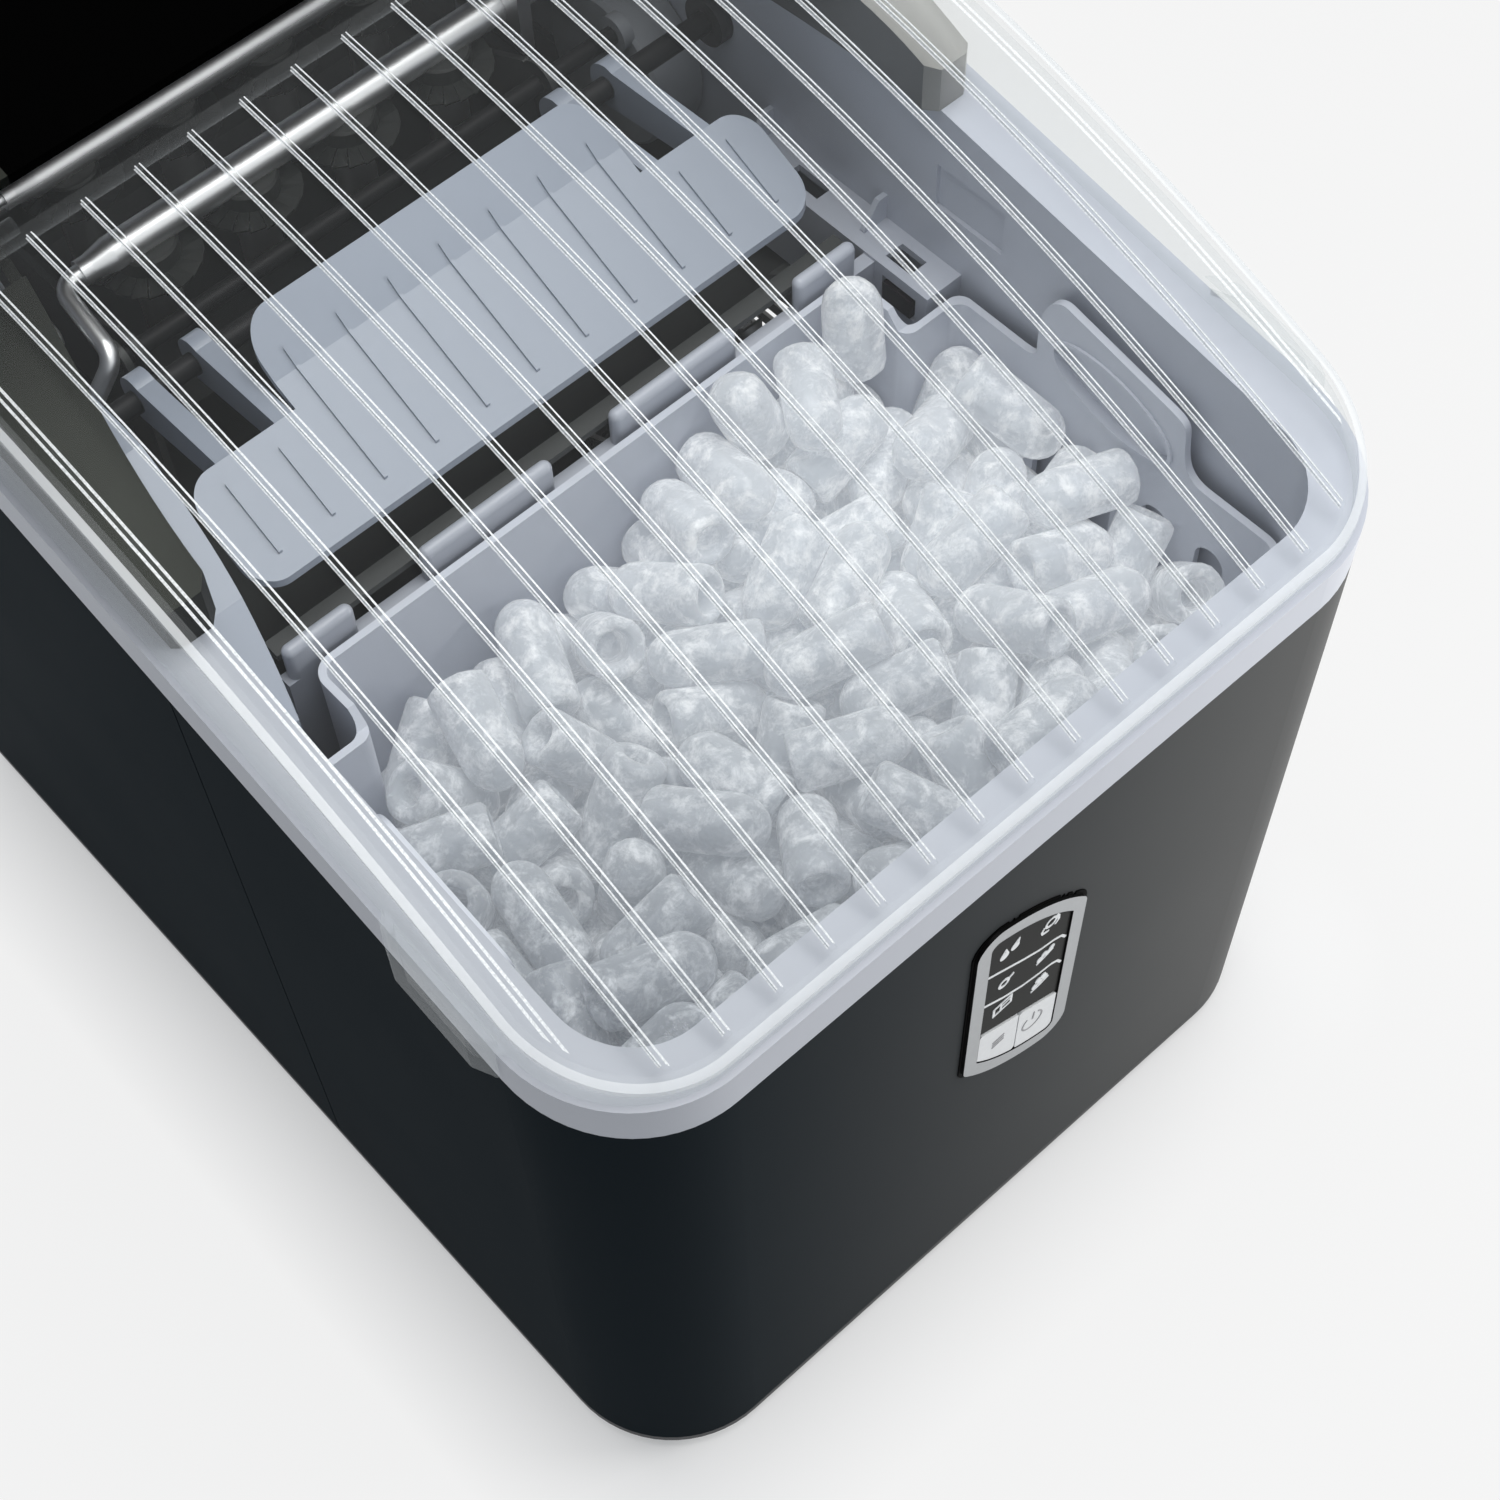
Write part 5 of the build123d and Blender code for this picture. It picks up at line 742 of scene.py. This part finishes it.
# Painted reflection: the bezel's side walls are painted near-white where they face down and near-black
# elsewhere; only the front keeps the satin metal.
trim_painted_reflection = bright_trim.blend(facing_down, (0.02, 0.02, 0.02), (0.97, 0.97, 0.97))
satin = bright_trim.blend(rub, (0.34, 0.35, 0.36), (0.44, 0.45, 0.46))
bright_trim.set(Base_Color=bright_trim.blend(facing_out > 0.7, trim_painted_reflection, satin), Roughness=0.30 + rub * 0.14)
bright_trim.over(nodes["control_bezel"])
smoked = Finish("smoked_window", (0.026, 0.026, 0.025), 0.2, Specular_IOR_Level=0.1, IOR=1.1)
smudge = smoked.noise(120.0)
smoked.set(Roughness=0.12 + smudge * 0.14)
smoked.over(nodes["display_window"])
key_silver = Finish("key_silver", (0.50, 0.52, 0.55), 0.35)
press = key_silver.noise(700.0)
key_silver.set(Base_Color=key_silver.blend(press, (0.60, 0.61, 0.62), (0.70, 0.71, 0.72)),
               Roughness=0.34 + press * 0.14)
key_silver.over(nodes["select_key"], nodes["power_key"])

# The signs are printed in thick ink: a simple picture for each light on the
# window, and a power ring and a menu sign on the keys.
window_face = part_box("display_window")[0][1]
key_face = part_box("power_key")[0][1]
INK_THICK = 0.00012
INK_SUNK = 0.00004
LAYER_LIFT = 0.0000004


class Ink:
    """Flat signs of strokes and dots, laid out in millimetres (X, Z) on a face."""

    def __init__(self, name, face, part, finish):
        self.name, self.face, self.part, self.finish = name, face, part, finish
        self.shape = bmesh.new()
        self.laid = 0

    def _raise(self, outline):
        self.laid += 1
        top = self.face - INK_THICK - self.laid * LAYER_LIFT
        root = self.face + INK_SUNK
        above = [self.shape.verts.new((x * 0.001, top, z * 0.001)) for x, z in outline]
        below = [self.shape.verts.new((x * 0.001, root, z * 0.001)) for x, z in outline]
        self.shape.faces.new(above)
        self.shape.faces.new(below[::-1])
        for k in range(len(outline)):
            after = (k + 1) % len(outline)
            self.shape.faces.new((above[k], below[k], below[after], above[after]))

    def dot(self, x, z, r):
        turned = [math.tau * k / 16 for k in range(16)]
        self._raise([(x + r * math.cos(a), z + r * math.sin(a)) for a in turned])

    def stroke(self, points, width, closed=False):
        ends = list(zip(points, points[1:] + points[:1] if closed else points[1:]))
        for (x0, z0), (x1, z1) in ends:
            long = math.hypot(x1 - x0, z1 - z0)
            ax, az = (x1 - x0) / long * width / 2, (z1 - z0) / long * width / 2
            self._raise([(x0 - az, z0 + ax), (x0 + az, z0 - ax), (x1 + az, z1 - ax), (x1 - az, z1 + ax)])
        for x, z in points[1:] if not closed else points:
            self.dot(x, z, width / 2)

    def ring(self, x, z, r, width, start=0.0, sweep=360.0):
        steps = max(8, int(sweep / 15))
        turned = [math.radians(start + sweep * k / steps) for k in range(steps + 1)]
        self.stroke([(x + r * math.cos(a), z + r * math.sin(a)) for a in turned], width)

    def done(self):
        mesh = bpy.data.meshes.new(self.name)
        self.shape.to_mesh(mesh)
        self.shape.free()
        sign = bpy.data.objects.new(self.name, mesh)
        bpy.context.scene.collection.objects.link(sign)
        self.finish.over(sign)
        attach(sign, self.part)


white_ink = Finish("white_ink", (0.80, 0.81, 0.82), 0.5)
edge_wear = white_ink.noise(1800.0)
white_ink.set(Base_Color=white_ink.blend(edge_wear, (0.55, 0.56, 0.57), (0.85, 0.86, 0.87)),
              Roughness=0.4 + edge_wear * 0.2)
dark_ink = Finish("dark_ink", (0.30, 0.30, 0.31), 0.5)
dark_wear = dark_ink.noise(1800.0)
dark_ink.set(Base_Color=dark_ink.blend(dark_wear, (0.20, 0.20, 0.21), (0.36, 0.36, 0.37)),
             Roughness=0.4 + dark_wear * 0.2)

lights = Ink("window_signs", window_face, "case", white_ink)
# two lines that sweep across the window
lights.stroke([(-13.6, 169.8), (-7.8, 166.7), (-1.3, 163.2), (4.6, 160.4),
               (9.4, 159.2), (12.2, 157.8), (13.6, 155.6)], 0.8)
lights.stroke([(-13.6, 154.8), (-6.8, 150.8), (0.1, 147.8), (5.8, 146.4),
               (10.1, 145.8), (12.3, 144.6), (13.6, 142.4)], 0.8)
# two drops
lights.dot(-8.5, 174.6, 1.5)
lights.stroke([(-9.4, 175.4), (-8.2, 177.4), (-7.5, 175.2)], 0.6)
lights.dot(-5.1, 175.2, 1.4)
lights.stroke([(-5.9, 176.0), (-4.0, 177.9), (-4.1, 175.8)], 0.6)
# a drop held in a bowl
lights.stroke([(5.0, 170.9), (4.2, 169.6), (4.6, 168.2), (6.4, 167.7)], 0.8)
lights.ring(7.1, 171.2, 1.7, 0.8)
lights.stroke([(8.6, 168.3), (9.7, 169.5), (9.6, 171.4), (8.9, 172.6)], 0.8)
# one small piece
lights.ring(-7.2, 159.1, 1.5, 0.9)
lights.stroke([(-5.7, 159.7), (-4.4, 160.4)], 0.9)
# a small heap
lights.stroke([(4.1, 153.2), (6.6, 153.8), (9.3, 154.9)], 0.8)
for x, z in ((5.1, 154.7), (6.5, 155.8), (7.9, 155.2), (9.0, 156.3)):
    lights.dot(x, z, 1.0)
# a tank with its level
lights.stroke([(-9.4, 144.0), (-3.6, 144.6), (-3.6, 148.2), (-9.4, 147.6)], 0.75, True)
lights.stroke([(-7.0, 144.2), (-7.0, 147.8)], 0.6)
lights.stroke([(-6.8, 146.2), (-3.8, 146.8)], 0.6)
# a large heap
lights.stroke([(3.8, 138.9), (6.8, 139.3), (9.4, 140.3)], 0.8)
for x, z in ((4.9, 140.6), (6.6, 141.0), (8.3, 141.6), (5.9, 142.7), (7.6, 143.1)):
    lights.dot(x, z, 1.0)
lights.done()

power_sign = Ink("power_sign", key_face, "power_button", dark_ink)
power_sign.ring(6.1, 120.6, 3.4, 0.45, 125, 290)
power_sign.stroke([(6.2, 121.4), (6.4, 124.8)], 0.45)
power_sign.done()
menu_sign = Ink("menu_sign", key_face, "select_button", dark_ink)
for row in range(3):
    menu_sign.stroke([(-8.4, 125.2 + 1.3 * row), (-4.6, 125.6 + 1.3 * row)], 0.6)
menu_sign.done()

# A thin black strip shows all round between the bezel and the sheet: painted shade for the shadow line
# there.
bezel_low, bezel_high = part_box("control_bezel")
middle_x, middle_z = (bezel_low[0] + bezel_high[0]) / 2, (bezel_low[2] + bezel_high[2]) / 2
BEARING_STEP = 3
PANEL_STRETCH = 2.2
STRIP_OUT, STRIP_IN = 0.0009, -0.0003
STRIP_FRONT, STRIP_BACK = -0.0003, 0.00005
seat_y = -0.16502
rim_points = {}
for vertex in nodes["control_bezel"].data.vertices:
    x, y, z = vertex.co
    if abs(y - seat_y) < 0.00004:
        dx, dz = x - middle_x, z - middle_z
        bearing = round(math.degrees(math.atan2(dz, dx * PANEL_STRETCH)) / BEARING_STEP)
        if math.hypot(dx, dz) > rim_points.get(bearing, (0.0,))[0]:
            rim_points[bearing] = (math.hypot(dx, dz), dx, dz)
shadow_strip = bmesh.new()
loops = []
for reach, forward in ((STRIP_IN, STRIP_FRONT), (STRIP_OUT, STRIP_FRONT),
                       (STRIP_OUT, STRIP_BACK), (STRIP_IN, STRIP_BACK)):
    loop = []
    for bearing in sorted(rim_points):
        far_out, dx, dz = rim_points[bearing]
        spread = (far_out + reach) / far_out
        spread_x = 1.0 + reach / max(abs(dx), 0.004) if abs(dx) > 0.015 else spread
        loop.append(shadow_strip.verts.new((middle_x + dx * spread_x, seat_y + forward, middle_z + dz * spread)))
    loops.append(loop)
for first, second in zip(loops, loops[1:] + loops[:1]):
    for k in range(len(first)):
        after = (k + 1) % len(first)
        shadow_strip.faces.new((first[k], first[after], second[after], second[k]))
shadow_strip_mesh = bpy.data.meshes.new("bezel_shadow_strip")
shadow_strip.to_mesh(shadow_strip_mesh)
shadow_strip.free()
bezel_shadow_strip = bpy.data.objects.new("bezel_shadow_strip", shadow_strip_mesh)
bpy.context.scene.collection.objects.link(bezel_shadow_strip)
painted_shadow_black = Finish("painted_shadow_black", (0.0015, 0.0015, 0.0015), 0.6, Specular_IOR_Level=0.02)
shadow_strip_pores = painted_shadow_black.noise(900.0)
painted_shadow_black.set(Roughness=0.5 + shadow_strip_pores * 0.2)
painted_shadow_black.over(bezel_shadow_strip)
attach(bezel_shadow_strip, "case")
